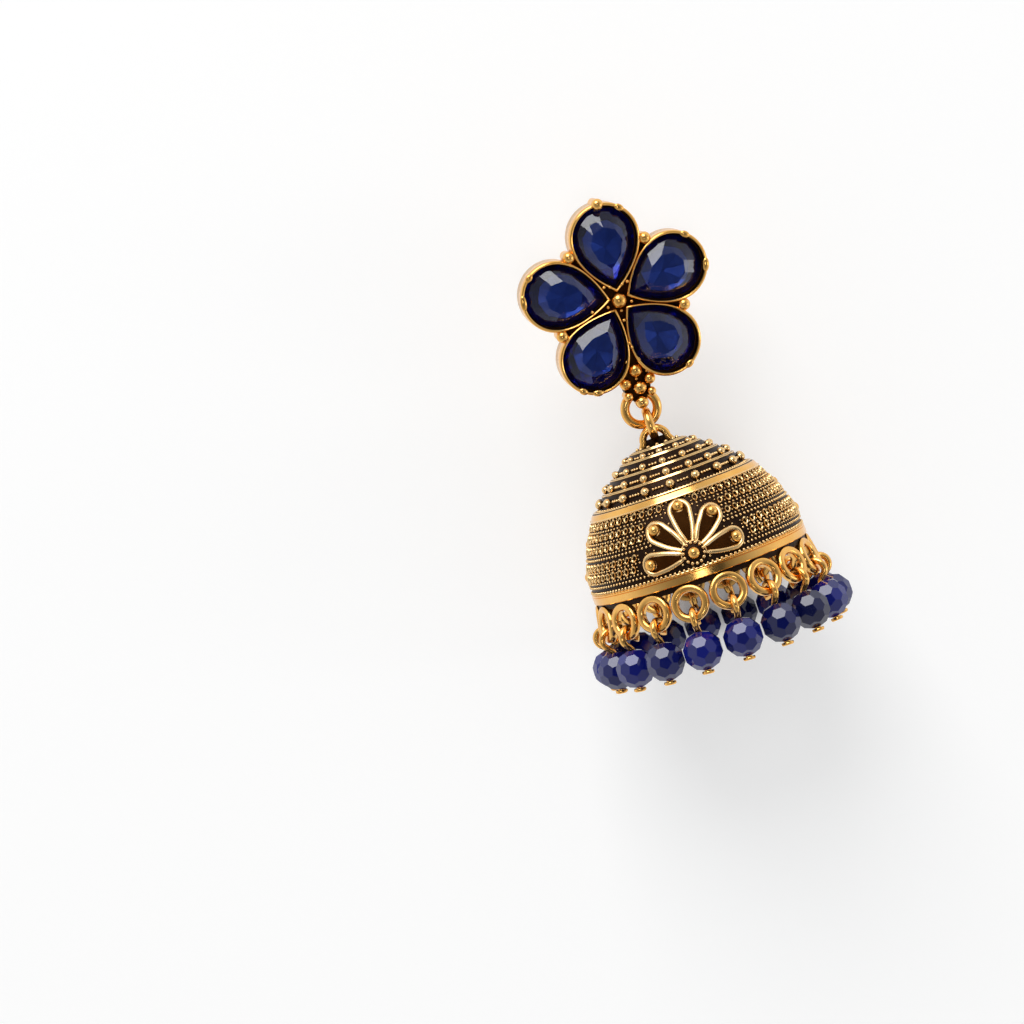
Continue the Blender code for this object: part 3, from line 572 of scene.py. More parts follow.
# Petal stones: dark blue glass cut as pears, with a table, a crown of facets and a pavilion. The glass
# is clear, and a blue foil behind each pavilion throws the light back, as in costume stones.
STONE_ROWS = (
    # level, share of the girdle's outline, first point, points skipped
    (2.9, 0.52, 0, 2),
    (2.38, 0.68, 1, 2),
    (1.80, 1.0, 0, 1),
    (1.66, 1.0, 0, 1),
    (1.02, 0.60, 1, 2),
    (0.72, 0.05, 0, 4),
)
FOIL_SPLIT = 1.0
STONE_IOR = 1.62
STONE_BLUE = "#c9d1ee"
STONE_DEEP = "#bcc6e8"
FOIL_BLUE = "#2b4896"
FOIL_DEEP = "#223b80"
FOIL_EDGE = "#162a86"
FOIL_EDGE_DEEP = "#112070"


def faceted_stone():
    """A cut stone: the flat facets between its rows of corners, with foil on the pavilion."""
    shape = bmesh.new()
    middle = (PEAR_END + PEAR_TIP) / 2
    corners = []
    for level, share, first, skip in STONE_ROWS:
        for point in pear_outline(-SEAT_CLEARANCE, 8, 4)[first::skip]:
            corners.append(shape.verts.new((point.x * share, middle + (point.y - middle) * share, level)))
    hull = bmesh.ops.convex_hull(shape, input=corners)
    unused = [part for part in hull["geom_interior"] if isinstance(part, bmesh.types.BMVert)]
    bmesh.ops.delete(shape, geom=unused, context="VERTS")
    bmesh.ops.dissolve_limit(shape, angle_limit=math.radians(1.0), verts=shape.verts, edges=shape.edges)
    bmesh.ops.recalc_face_normals(shape, faces=shape.faces)
    for face in shape.faces:
        # Pavilion facets deep down take the blue foil; those higher up, near the girdle, take a darker copy
        # as painted shade at the stone's rim.
        if face.normal.z < 0.05:
            face.material_index = 1 if face.calc_center_median().z < FOIL_SPLIT else 2
    return shape


# Cut glass: clear and sharp, with the faint zones of deeper blue that a melt has.
stone_glass, tree, output = new_material("cut_blue_glass")
glass_place = add_node(tree, "ShaderNodeTexCoord")
zones = add_node(tree, "ShaderNodeTexNoise", inputs={
    "Vector": glass_place.outputs["Object"], "Scale": 420.0, "Detail": 2.0})
zoned_blue = add_node(tree, "ShaderNodeMix", {"data_type": "RGBA"}, {
    "Factor": zones.outputs["Fac"], "A": hex_colour(STONE_DEEP), "B": hex_colour(STONE_BLUE)})
stone_shader = add_node(tree, "ShaderNodeBsdfPrincipled", inputs={
    "Base Color": zoned_blue.outputs["Result"], "Roughness": 0.01, "IOR": STONE_IOR,
    "Transmission Weight": 1.0})
tree.links.new(stone_shader.outputs["BSDF"], output.inputs["Surface"])


def foil(name, colour, deep, roughness):
    """Blue lacquered foil on the back of a stone, faintly crinkled, which glints through the glass."""
    material, tree, output = new_material(name)
    place = add_node(tree, "ShaderNodeTexCoord")
    crinkles = add_node(tree, "ShaderNodeTexNoise", inputs={
        "Vector": place.outputs["Object"], "Scale": 1300.0, "Detail": 2.0})
    tone = add_node(tree, "ShaderNodeMix", {"data_type": "RGBA"}, {
        "Factor": crinkles.outputs["Fac"], "A": hex_colour(deep), "B": hex_colour(colour)})
    bump = add_node(tree, "ShaderNodeBump", inputs={
        "Strength": 0.15, "Distance": 0.00002, "Height": crinkles.outputs["Fac"]})
    shader = add_node(tree, "ShaderNodeBsdfPrincipled", inputs={
        "Base Color": tone.outputs["Result"], "Metallic": 0.8, "Roughness": roughness,
        "Normal": bump.outputs["Normal"]})
    tree.links.new(shader.outputs["BSDF"], output.inputs["Surface"])
    return material


stone_foil = foil("blue_foil", FOIL_BLUE, FOIL_DEEP, 0.28)
# The darker copy at the girdle is painted shade that keeps each stone's rim dark.
dark_foil = foil("dark_foil_edge", FOIL_EDGE, FOIL_EDGE_DEEP, 0.08)

for number, petal in enumerate(petal_places, start=1):
    stone = make_object(f"pear_stone_{number}", faceted_stone(), [stone_glass, stone_foil, dark_foil],
                        flower_place @ petal, sharp=1)
    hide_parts(f"petal_stone_{number}")
    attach(stone, "root")

# Bell: a cast shell in gold plate, blackened in its recesses and rubbed bright on what stands proud.
# A smooth rim, a textured field, a smooth band and four stepped tiers lead up to the crown.
DROP_PITCH = 5
BEADS_BELOW_RIM = 7.013
FRINGE_COUNT = 18
BELL_RADIUS = 11.85
BELL_HEIGHT = 13.9
BELL_WALL = 0.75
CROWN_THICKNESS = 1.9
SKIRT_DEPTH = 0.6
SKIRT_INSET = 0.3
BELL_STEPS = 120
FIELD = (
    # share of the bell's height, share of its radius
    (0.076, 0.981),
    (0.280, 0.950),
    (0.470, 0.862),
    (0.600, 0.770),
)
BAND = ((0.604, 0.782), (0.606, 0.790), (0.646, 0.765), (0.650, 0.757), (0.655, 0.735))
TIERS = (
    # foot height, foot radius, top height, top radius, granules, granule radius
    (0.665, 0.675, 0.764, 0.616, 18, 0.50),
    (0.771, 0.578, 0.852, 0.502, 17, 0.44),
    (0.860, 0.452, 0.934, 0.376, 15, 0.40),
    (0.941, 0.325, 0.989, 0.262, 13, 0.37),
)
CROWN_SHARE = 0.22
INNER_STEPS = 14
PATINA = "#241307"
PATINA_RUBBED = "#4a3216"
ANTIQUE_GOLD = "#f6d8a2"
ANTIQUE_WARM = "#e2b06a"
# Darker browns for the bell's inside: painted shade.
INNER_BRASS = "#7a4c22"
INNER_BRASS_WARM = "#5a3414"
ANTIQUE_ROUGHNESS = 0.2
INNER_ROUGHNESS = 0.5
RIM_SECTION = (
    # how far in from the bell's radius, height
    (0.06, 0.00),
    (0.00, 0.06),
    (0.00, 0.76),
    (0.07, 0.80),
    (0.00, 0.84),
    (0.00, 0.94),
    (0.06, 1.00),
)
FIELD_STEPS = 16
BAND_TOP = 0.652

bead_names = [f"bead_{number:02d}" for number in range(1, FRINGE_COUNT + 1)]
bead_centres = {name: (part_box(name)[0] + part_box(name)[1]) / 2 for name in bead_names}
bell_turn = Matrix.Rotation(math.radians(-DROP_PITCH), 4, "X")
bead_circle_centre = sum(bead_centres.values(), Vector()) / FRINGE_COUNT
bell_origin = bead_circle_centre + bell_turn @ Vector((0, BEADS_BELOW_RIM, 0)) * MM
bell_place = Matrix.Translation(bell_origin) @ bell_turn @ Matrix.Scale(MM, 4)


def bell_radius(height):
    """The bell's outer radius in its field: the smooth curve through the field's sections."""
    share = height / BELL_HEIGHT
    radius = 0
    for i, (near, value) in enumerate(FIELD):
        weight = value
        for j, (other, _) in enumerate(FIELD):
            if i != j:
                weight *= (share - other) / (near - other)
        radius += weight
    return BELL_RADIUS * radius


def round_bell(angle, height, radius, lean=0):
    """A place at an angle round the bell's axis, facing outward."""
    place = Matrix.Translation((0, height, radius)) @ Matrix.Rotation(math.radians(-lean), 4, "X")
    return Matrix.Rotation(math.radians(angle), 4, "Y") @ place


def on_field(angle, height, lift=0.0):
    """A place on the bell's field, with its Z out of the metal."""
    slope = (bell_radius(height + 0.05) - bell_radius(height - 0.05)) / 0.1
    return round_bell(angle, height, bell_radius(height) + lift, -math.degrees(math.atan(slope)))


# Antique gold plate: paler and creamier than the polished plate, rubbed bright where it stands proud and dark
# at its foot, which is patina and painted shade. Dull cast brass: the inside of the bell, painted a darker
# brown than the outside as painted shade.
antique_gold = worked_gold("antique_gold_plate", ANTIQUE_GOLD, ANTIQUE_WARM, PATINA, ANTIQUE_ROUGHNESS)
inner_brass_painted_shade = worked_gold("dull_brass_painted_shade", INNER_BRASS, INNER_BRASS_WARM, PATINA, INNER_ROUGHNESS)

# Blackened brass: the nearly black ground of the bell, with specks of brown where it has rubbed through,
# so that the bright relief stands out from it.
patina, tree, output = new_material("blackened_brass")
patina_place = add_node(tree, "ShaderNodeTexCoord")
patina_noise = add_node(tree, "ShaderNodeTexNoise", inputs={
    "Vector": patina_place.outputs["Object"], "Scale": 2200.0, "Detail": 4.0, "Roughness": 0.7})
patina_ramp = add_node(tree, "ShaderNodeMapRange", {"clamp": True}, {
    "Value": patina_noise.outputs["Fac"], "From Min": 0.55, "From Max": 0.8})
patina_colour = add_node(tree, "ShaderNodeMix", {"data_type": "RGBA"}, {
    "Factor": patina_ramp.outputs["Result"], "A": hex_colour(PATINA), "B": hex_colour(PATINA_RUBBED)})
patina_bump = add_node(tree, "ShaderNodeBump", inputs={
    "Strength": 0.5, "Distance": 0.0001, "Height": patina_noise.outputs["Fac"]})
patina_shader = add_node(tree, "ShaderNodeBsdfPrincipled", inputs={
    "Base Color": patina_colour.outputs["Result"], "Metallic": 0.85, "Roughness": 0.45,
    "Normal": patina_bump.outputs["Normal"]})
tree.links.new(patina_shader.outputs["BSDF"], output.inputs["Surface"])

rim_inner = BELL_RADIUS - BELL_WALL
skirt_radius = BELL_RADIUS - SKIRT_INSET
profile = [(skirt_radius, -SKIRT_DEPTH), (skirt_radius, 0)]
profile += [(BELL_RADIUS - inward, height) for inward, height in RIM_SECTION]
field_foot = FIELD[0][0] * BELL_HEIGHT
field_top = FIELD[-1][0] * BELL_HEIGHT
for step in range(FIELD_STEPS + 1):
    height = field_foot + (field_top - field_foot) * step / FIELD_STEPS
    profile.append((bell_radius(height), height))
profile += [(BELL_RADIUS * radius, BELL_HEIGHT * height) for height, radius in BAND]
for foot, foot_radius, top, top_radius, _, _ in TIERS:
    profile.append((BELL_RADIUS * foot_radius, BELL_HEIGHT * foot))
    profile.append((BELL_RADIUS * top_radius, BELL_HEIGHT * top))
profile += [(BELL_RADIUS * CROWN_SHARE, BELL_HEIGHT), (0, BELL_HEIGHT)]
inner_height = BELL_HEIGHT - CROWN_THICKNESS
for step in range(INNER_STEPS, -1, -1):
    angle = math.pi / 2 * step / INNER_STEPS
    profile.append((rim_inner * math.cos(angle) if step < INNER_STEPS else 0, inner_height * math.sin(angle)))
profile += [(rim_inner, -SKIRT_DEPTH), (skirt_radius, -SKIRT_DEPTH)]
shell = spun(profile, BELL_STEPS, (0, 1, 0), (0, 0, 1))
# Faces inside the bell take the darker inner brass, as painted shade.
for face in shell.faces:
    centre = face.calc_center_median()
    reach = math.hypot(centre.x, centre.z)
    inner_reach = rim_inner * math.sqrt(max(0, 1 - (centre.y / inner_height) ** 2))
    if reach < inner_reach + 0.1 and centre.y < inner_height:
        face.material_index = 2
    elif 0.01 < centre.y < field_foot - 0.02 or field_top < centre.y < BELL_HEIGHT * BAND_TOP:
        face.material_index = 0
    else:
        face.material_index = 1

bell = make_object("bell_shell", shell, [polished_gold, patina, inner_brass_painted_shade], bell_place, sharp=30)

# Pierced motifs on the bell: drop-shaped openings fanned round a hub, each framed by a bright wire with
# a grain at its end, and a collar of tiny grains round the hub.
MOTIF_COUNT = 3
MOTIF_HEIGHT = 2.6
MOTIF_FAN = (
    # turn from upright, reach of the ball at the tip
    (-88, 4.72),
    (-43, 4.62),
    (0, 4.92),
    (43, 4.62),
    (88, 4.72),
)
OPENING_START = 1.3
OPENING_PAST_BALL = 0.42
OPENING_HALF_WIDTH = 0.83
OPENING_BULGE = 0.12
OPENING_NARROW = 0.2
CUT_PAST_SURFACE = 0.5
FRAME_WIRE = 0.26
FRAME_RISE = 0.27
FRAME_LIFT = 0.06
FRAME_OUTSIDE = 0.18
FRAME_START = 1.18
FRAME_NARROW = 0.3
TIP_BALL = 0.63
HUB_BALL = 0.66
HUB_RADIUS = 1.28
COLLAR_COUNT = 14
COLLAR_RADIUS = 1.08
COLLAR_BALL = 0.19
COLLAR_LEVEL = 0.34
HUB_LEVEL = 0.3
HUB_SECTION = ((0, -0.3), (HUB_RADIUS, -0.3), (HUB_RADIUS, 0.22), (HUB_RADIUS - 0.1, 0.3), (0, 0.3))


def teardrop(start, end, half_width, narrow, round_steps=14, side_steps=8):
    """A drop along +Y: a round end, and sides that draw in towards its narrow start."""
    centre = end - half_width
    tangent = math.asin(min(1, (half_width - narrow) / (centre - start)))
    turns = [-tangent + (math.pi + 2 * tangent) * step / round_steps for step in range(round_steps + 1)]
    points = [Vector((half_width * math.cos(a), centre + half_width * math.sin(a), 0)) for a in turns]
    left, foot_left = points[-1], Vector((-narrow, start, 0))
    right, foot_right = points[0], Vector((narrow, start, 0))
    for step in range(1, side_steps + 1):
        t = step / side_steps
        points.append(left.lerp(foot_left, t) - Vector((OPENING_BULGE * math.sin(math.pi * t), 0, 0)))
    for step in range(side_steps):
        t = step / side_steps
        points.append(foot_right.lerp(right, t) + Vector((OPENING_BULGE * math.sin(math.pi * t), 0, 0)))
    return points


def swept(path, half_side, half_rise, sides, plane_normal=Vector((0, 0, 1)), closed=False):
    """A wire along a flat path."""
    rows = []
    for i, point in enumerate(path):
        before = path[i - 1] if i > 0 or closed else point
        after = path[(i + 1) % len(path)] if i + 1 < len(path) or closed else point
        side = (after - before).normalized().cross(plane_normal)
        turns = [math.tau * step / sides for step in range(sides)]
        rows.append([point + side * (half_side * math.cos(a)) + plane_normal * (half_rise * math.sin(a))
                     for a in turns])
    return lofted(rows, joined_ends=closed)


def wrap_on_bell(shape, turn, motif_angle):
    """Turns a flat shape about its hub and bends it round the bell."""
    turned = Matrix.Rotation(math.radians(-turn), 4, "Z")
    for vertex in shape.verts:
        flat = turned @ vertex.co
        height = MOTIF_HEIGHT + flat.y
        angle = math.radians(motif_angle) + flat.x / bell_radius(height)
        radius = bell_radius(height) + flat.z
        vertex.co = Vector((radius * math.sin(angle), height, radius * math.cos(angle)))
    return shape


cutters, frames, motif_balls, collar_balls = [], [], [], []
for motif in range(MOTIF_COUNT):
    motif_angle = 360 * motif / MOTIF_COUNT
    for turn, ball_reach in MOTIF_FAN:
        opening_end = ball_reach + OPENING_PAST_BALL
        hole = teardrop(OPENING_START, opening_end, OPENING_HALF_WIDTH, OPENING_NARROW)
        plug = lofted([[point + Vector((0, 0, rise)) for point in hole]
                       for rise in (-2 * BELL_WALL, CUT_PAST_SURFACE)])
        cutters.append(wrap_on_bell(plug, turn, motif_angle))
        path = teardrop(FRAME_START, opening_end + FRAME_OUTSIDE, OPENING_HALF_WIDTH + FRAME_OUTSIDE,
                        FRAME_NARROW)
        raised = [point + Vector((0, 0, FRAME_LIFT)) for point in path]
        frame_wire = swept(raised, FRAME_WIRE, FRAME_RISE, 10, closed=True)
        frames.append(wrap_on_bell(frame_wire, turn, motif_angle))
        across = ball_reach * math.sin(math.radians(turn))
        height = MOTIF_HEIGHT + ball_reach * math.cos(math.radians(turn))
        spread = math.degrees(across / bell_radius(height))
        tip = round_bell(motif_angle + spread, height, bell_radius(height) - 0.05)
        motif_balls.append(tip @ Matrix.Scale(TIP_BALL, 4))
    hub = on_field(motif_angle, MOTIF_HEIGHT)
    motif_balls.append(hub @ Matrix.Translation((0, 0, HUB_LEVEL)) @ Matrix.Scale(HUB_BALL, 4))
    for step in range(COLLAR_COUNT):
        angle = math.tau * step / COLLAR_COUNT
        spot = Matrix.Translation((
            COLLAR_RADIUS * math.sin(angle), COLLAR_RADIUS * math.cos(angle), COLLAR_LEVEL))
        collar_balls.append(hub @ spot @ Matrix.Scale(COLLAR_BALL, 4))
    hub_disc = spun(HUB_SECTION, 28, (0, 0, 1), (1, 0, 0))
    frames.append(solid(scattered(hub_disc, [hub]), 1))

cutter = make_object("openings", joined(cutters), [patina], bell_place)
cutter.hide_render = True
pierce = bell.modifiers.new("openings", "BOOLEAN")
pierce.operation = "DIFFERENCE"
pierce.solver = "EXACT"
pierce.object = cutter
bpy.context.view_layer.update()
pierced = bpy.data.meshes.new_from_object(bell.evaluated_get(bpy.context.evaluated_depsgraph_get()))
bell.modifiers.clear()
bell.data = pierced
bpy.data.objects.remove(cutter)
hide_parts("jhumka_dome")
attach(bell, "root")

tip_balls = scattered(round_ball(1.0, 20, 14), motif_balls)
for face in tip_balls.faces:
    face.material_index = 2
collars = scattered(round_ball(1.0, 10, 6), collar_balls)
motifs = make_object("bell_motifs", joined(frames + [tip_balls, collars]),
                     [antique_gold, patina, polished_gold], bell_place)
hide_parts("jhumka_dome")
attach(motifs, "root")

# Field of the bell: rows of small wire loops with rows of fine dots between them, cast in one with the
# shell and rubbed bright, with dark patina left between them.
LOOP_ROWS = (7.82, 6.72, 5.6, 3.9, 2.8)
LOOP_PITCH = 0.96
LOOP_HALF_WIDTH = 0.35
LOOP_HALF_HEIGHT = 0.50
LOOP_WIRE = 0.095
LOOP_RISE = 0.17
LOOP_LEAN = 14
LOOP_SCATTER = 12
LOOP_SIZES = (0.9, 1.06)
SMALL_DOT = 0.095
SMALL_DOT_SPREAD = 0.2
FIELD_LIFT = 0.05
DOT_ROWS = (
    # height, pitch, radius
    (8.25, 0.50, 0.14),
    (7.27, 0.48, 0.13),
    (6.16, 0.48, 0.13),
    (5.03, 0.46, 0.12),
    (4.64, 0.50, 0.16),
    (3.36, 0.48, 0.13),
    (2.24, 0.46, 0.12),
    (1.82, 0.48, 0.15),
    (1.22, 0.50, 0.19),
)
LOOP_CLEARANCE = 0.36
DOT_CLEARANCE = 0.12
FRAME_HALF_WIDTH = 0.38


def clear_of_motifs(angle, height, margin):
    """Whether a spot on the field keeps clear of the motifs' frames."""
    spacing = 360 / MOTIF_COUNT
    offset = (angle + spacing / 2) % spacing - spacing / 2
    spot = Vector((math.radians(offset) * bell_radius(height), height - MOTIF_HEIGHT))
    if spot.length < HUB_RADIUS + margin:
        return False
    for turn, ball_reach in MOTIF_FAN:
        direction = Vector((math.sin(math.radians(turn)), math.cos(math.radians(turn))))
        end = ball_reach + OPENING_PAST_BALL - OPENING_HALF_WIDTH
        along = max(0.0, min(spot.dot(direction), end))
        width = OPENING_HALF_WIDTH * min(1.0, along / end) + FRAME_HALF_WIDTH
        if (spot - direction * along).length < width + margin:
            return False
    return True


random.seed(18)
loop_places, dot_places = [], []
for row, height in enumerate(LOOP_ROWS):
    count = round(math.tau * bell_radius(height) / LOOP_PITCH)
    for step in range(count):
        angle = 360 * (step + 0.5 * (row % 2)) / count
        if clear_of_motifs(angle, height, LOOP_CLEARANCE):
            lean = Matrix.Rotation(math.radians(-LOOP_LEAN - random.uniform(-1, 1) * LOOP_SCATTER), 4, "Z")
            size = Matrix.Scale(random.uniform(*LOOP_SIZES), 4)
            loop_places.append(on_field(angle, height, FIELD_LIFT) @ lean @ size)
        between = 360 * (step + 0.5 + 0.5 * (row % 2)) / count
        for rise in (-SMALL_DOT_SPREAD, SMALL_DOT_SPREAD):
            if clear_of_motifs(between, height + rise, DOT_CLEARANCE):
                dot_places.append(on_field(between, height + rise, FIELD_LIFT) @ Matrix.Scale(SMALL_DOT, 4))
for height, pitch, radius in DOT_ROWS:
    count = round(math.tau * bell_radius(height) / pitch)
    for step in range(count):
        angle = 360 * step / count
        if clear_of_motifs(angle, height, DOT_CLEARANCE):
            dot_places.append(on_field(angle, height, FIELD_LIFT) @ Matrix.Scale(radius, 4))

loop_section = round_section(LOOP_HALF_WIDTH - LOOP_WIRE, LOOP_WIRE, LOOP_RISE, 5)
loop_unit = spun(loop_section, 12, (0, 0, 1), (1, 0, 0), closed=True)
bmesh.ops.scale(loop_unit, vec=(1, LOOP_HALF_HEIGHT / LOOP_HALF_WIDTH, 1), verts=loop_unit.verts)
field = make_object("bell_field", joined([
    scattered(loop_unit, loop_places), scattered(round_ball(1.0, 8, 4), dot_places)]),
    [antique_gold], bell_place, sharp=60)
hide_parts("jhumka_dome")
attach(field, "root")

# Tiers of the bell: a row of round granules on each step with a line of beading between them, under a
# pair of fine bright edges. All are soldered on and rubbed bright, in the same antique gold plate.
TIER_GRAINS = (
    # share of the wall's height for the granules, beads between two of them
    (0.45, 4),
    (0.36, 4),
    (0.30, 3),
    (0.25, 2),
)
BEADING = 0.17
BEADING_START = 0.19
BEADING_SPAN = 0.62
BEADING_LIFT = 0.08
DRIP = 0.12
EDGE_WIRE = 0.095
TIER_EDGES = (
    # distance out from the tier's top edge, height above it
    (0.02, -0.06),
    (-0.26, 0.05),
)
BAND_EDGES = (
    # share of the bell's radius, share of its height, wire radius
    (0.735, 0.657, 0.11),
    (0.79, 0.606, 0.1),
    (0.985, 0.076, 0.08),
)
LEDGE_RADIUS = 0.70
LEDGE_HEIGHT = 0.662
LEDGE_PITCH = 0.40
LEDGE_DOT = 0.13
CROWN_DOTS = 14
CROWN_DOT = 0.2
CROWN_REACH = 2.25
CROWN_LIFT = 0.05

granules, beading, edges = [], [], []
for (foot, foot_radius, top, top_radius, count, size), (share, between) in zip(TIERS, TIER_GRAINS):
    level = BELL_HEIGHT * (foot + (top - foot) * share)
    wall = BELL_RADIUS * (foot_radius + (top_radius - foot_radius) * share)
    for step in range(count):
        granules.append(round_bell(360 * step / count, level, wall + size * 0.5) @ Matrix.Scale(size, 4))
        drip = round_bell(360 * step / count, BELL_HEIGHT * foot + 0.02, BELL_RADIUS * foot_radius + DRIP)
        beading.append(drip @ Matrix.Scale(DRIP, 4))
        for dot in range(between):
            spread = (dot + 1) / (between + 1) * BEADING_SPAN + BEADING_START
            spot = round_bell(360 * (step + spread) / count, level, wall + BEADING_LIFT)
            beading.append(spot @ Matrix.Scale(BEADING, 4))
    top_height, edge_radius = BELL_HEIGHT * top, BELL_RADIUS * top_radius
    for outward, rise in TIER_EDGES:
        section = round_section(edge_radius + outward, EDGE_WIRE, EDGE_WIRE, 6)
        ring = spun(section, BELL_STEPS, (0, 1, 0), (0, 0, 1), closed=True)
        bmesh.ops.translate(ring, verts=ring.verts, vec=(0, top_height + rise, 0))
        edges.append(ring)
for reach, height, wire in BAND_EDGES:
    section = round_section(BELL_RADIUS * reach, wire, wire, 6)
    ring = spun(section, BELL_STEPS, (0, 1, 0), (0, 0, 1), closed=True)
    bmesh.ops.translate(ring, verts=ring.verts, vec=(0, BELL_HEIGHT * height, 0))
    edges.append(ring)
ledge_reach = BELL_RADIUS * LEDGE_RADIUS
ledge_dots = round(math.tau * ledge_reach / LEDGE_PITCH)
for step in range(ledge_dots):
    spot = round_bell(360 * step / ledge_dots, BELL_HEIGHT * LEDGE_HEIGHT, ledge_reach)
    beading.append(spot @ Matrix.Scale(LEDGE_DOT, 4))
for step in range(CROWN_DOTS):
    spot = round_bell(360 * step / CROWN_DOTS, BELL_HEIGHT + CROWN_LIFT, CROWN_REACH)
    beading.append(spot @ Matrix.Scale(CROWN_DOT, 4))

tiers = make_object("bell_tiers", joined(edges + [
    scattered(round_ball(1.0, 16, 10), granules), scattered(round_ball(1.0, 8, 6), beading)]),
    [antique_gold], bell_place)
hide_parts("jhumka_dome")
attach(tiers, "root")

# Stirrup: an arch of thick wire in polished gold plate, which holds the link. Its feet are soldered on the
# crown over a small plate that has gone dark.
STIRRUP_REACH = 15.7
STIRRUP_HALF_SPAN = 1.35
STIRRUP_SPLAY = 0.45
STIRRUP_HALF_WIDTH = 0.40
STIRRUP_HALF_DEPTH = 0.42
STIRRUP_SINK = 0.3
STIRRUP_STEPS = 16
WEB_OUTLINE = ((-1.75, -0.4), (1.75, -0.4), (1.2, 0.75), (-1.2, 0.75))
WEB_HALF_THICKNESS = 0.22

leg_top = STIRRUP_REACH - STIRRUP_HALF_SPAN
stirrup_path = [Vector((-STIRRUP_HALF_SPAN - STIRRUP_SPLAY, BELL_HEIGHT - STIRRUP_SINK, 0))]
for step in range(STIRRUP_STEPS + 1):
    angle = math.pi * (1 - step / STIRRUP_STEPS)
    outward = Vector((math.cos(angle), math.sin(angle), 0))
    stirrup_path.append(outward * STIRRUP_HALF_SPAN + Vector((0, leg_top, 0)))
stirrup_path.append(Vector((STIRRUP_HALF_SPAN + STIRRUP_SPLAY, BELL_HEIGHT - STIRRUP_SINK, 0)))
arch = swept(stirrup_path, STIRRUP_HALF_WIDTH, STIRRUP_HALF_DEPTH, 14)
web = lofted([[Vector((x, y, z)) for x, y in WEB_OUTLINE] for z in (-WEB_HALF_THICKNESS, WEB_HALF_THICKNESS)])
bmesh.ops.translate(web, verts=web.verts, vec=(0, BELL_HEIGHT, 0))
stirrup = make_object("bell_stirrup", joined([arch, solid(web, 1)]), [polished_gold, patina], bell_place)
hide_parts("jhumka_dome")
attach(stirrup, "root")

# Rings under the rim: eighteen thick rings in polished gold plate, bevelled on their faces. They are
# soldered edge to edge below the bell, and each holds the wire of one bead.
RING_HEIGHT = -2.0986
RING_CIRCLE = 11.74
RING_FLARE = 10
RING_MIDDLE = 1.5736
RING_HALF_WIDTH = 0.415
RING_HALF_THICKNESS = 0.46
RING_SECTION = (
    # share of the half width from the ring's middle, share of its half thickness
    (-0.62, 0.86),
    (-0.30, 1.00),
    (0.35, 1.00),
    (0.74, 0.84),
    (0.97, 0.50),
    (1.00, 0.00),
    (0.97, -0.50),
    (0.70, -0.90),
    (0.30, -1.00),
    (-0.40, -1.00),
    (-0.84, -0.86),
    (-1.00, -0.50),
    (-1.00, 0.30),
    (-0.88, 0.64),
)

ring_turns = [360 * (step + 0.5) / FRINGE_COUNT for step in range(FRINGE_COUNT)]
ring_section = []
for across, level in RING_SECTION:
    ring_section.append((RING_MIDDLE + RING_HALF_WIDTH * across, RING_HALF_THICKNESS * level))
rim_ring = spun(ring_section, 44, (0, 0, 1), (1, 0, 0), closed=True)
rim_rings = scattered(rim_ring, [
    round_bell(angle, RING_HEIGHT, RING_CIRCLE, RING_FLARE) for angle in ring_turns])
rings = make_object("bell_rings", solid(rim_rings), [polished_gold], bell_place)
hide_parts("jhumka_dome")
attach(rings, "root")

# Link: one round jump ring of polished gold plated wire, closed, that joins the flower's ring to the
# stirrup.
LINK_HOLE = 1.02
LINK_WIRE = 0.95

link_centre = (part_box("drop_link")[0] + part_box("drop_link")[1]) / 2
link_section = round_section(LINK_HOLE + LINK_WIRE / 2, LINK_WIRE / 2, LINK_WIRE / 2, 16)
link = make_object("jump_ring", spun(link_section, 48, (1, 0, 0), (0, 1, 0), closed=True), [polished_gold],
                   Matrix.Translation(link_centre) @ Matrix.Scale(MM, 4))
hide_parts("drop_link")
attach(link, "root")

# Fringe: round beads of dark blue glass, ground with flat facets and drilled, each on its own wire. The
# wire has a loop through the rim's ring and is headed flat below the bead.
BEAD_RADIUS = 2.03
BEAD_FLARE = 6
BEAD_SWING = 4
BEAD_DROP = 3.3171
BEAD_HOLE = 0.5
DRILL_REACH = 3
PIN_LOOP_HEIGHT = -3.7222
PIN_LOOP_CIRCLE = 12.0263
PIN_WIRE_HALF = 0.35
PIN_LOOP_RADIUS = 0.95
PIN_LOOP_TURNS = (-62, 215)
PIN_LOOP_STEPS = 26
CAP_TOP = 5.3843
CAP_RADIUS = 0.65
CAP_THICKNESS = 0.35
CAP_SECTION = (
    # distance from the cap's axis, depth below its top
    (0.0, 0.0),
    (CAP_RADIUS - 0.06, 0.0),
    (CAP_RADIUS, 0.08),
    (CAP_RADIUS, CAP_THICKNESS - 0.1),
    (CAP_RADIUS - 0.1, CAP_THICKNESS),
    (0.0, CAP_THICKNESS),
)
BEAD_TINTS = (0.75, 0.25, 0.1, 0.8, 0.5, 0.9, 0.3, 0.7, 0.2, 0.6, 0.4, 0.8, 0.3, 0.9, 0.5, 0.9, 0.45, 0.85)
FACET_REACH = 1.95
FACET_TURN = 18
FACET_LIFT = 8
FACET_SCATTER = 4
FACET_SHADES = (0.6, 1.0)
BEAD_ROYAL = "#0c187c"
BEAD_INK = "#0a1036"
BEAD_DARK = "#04061c"

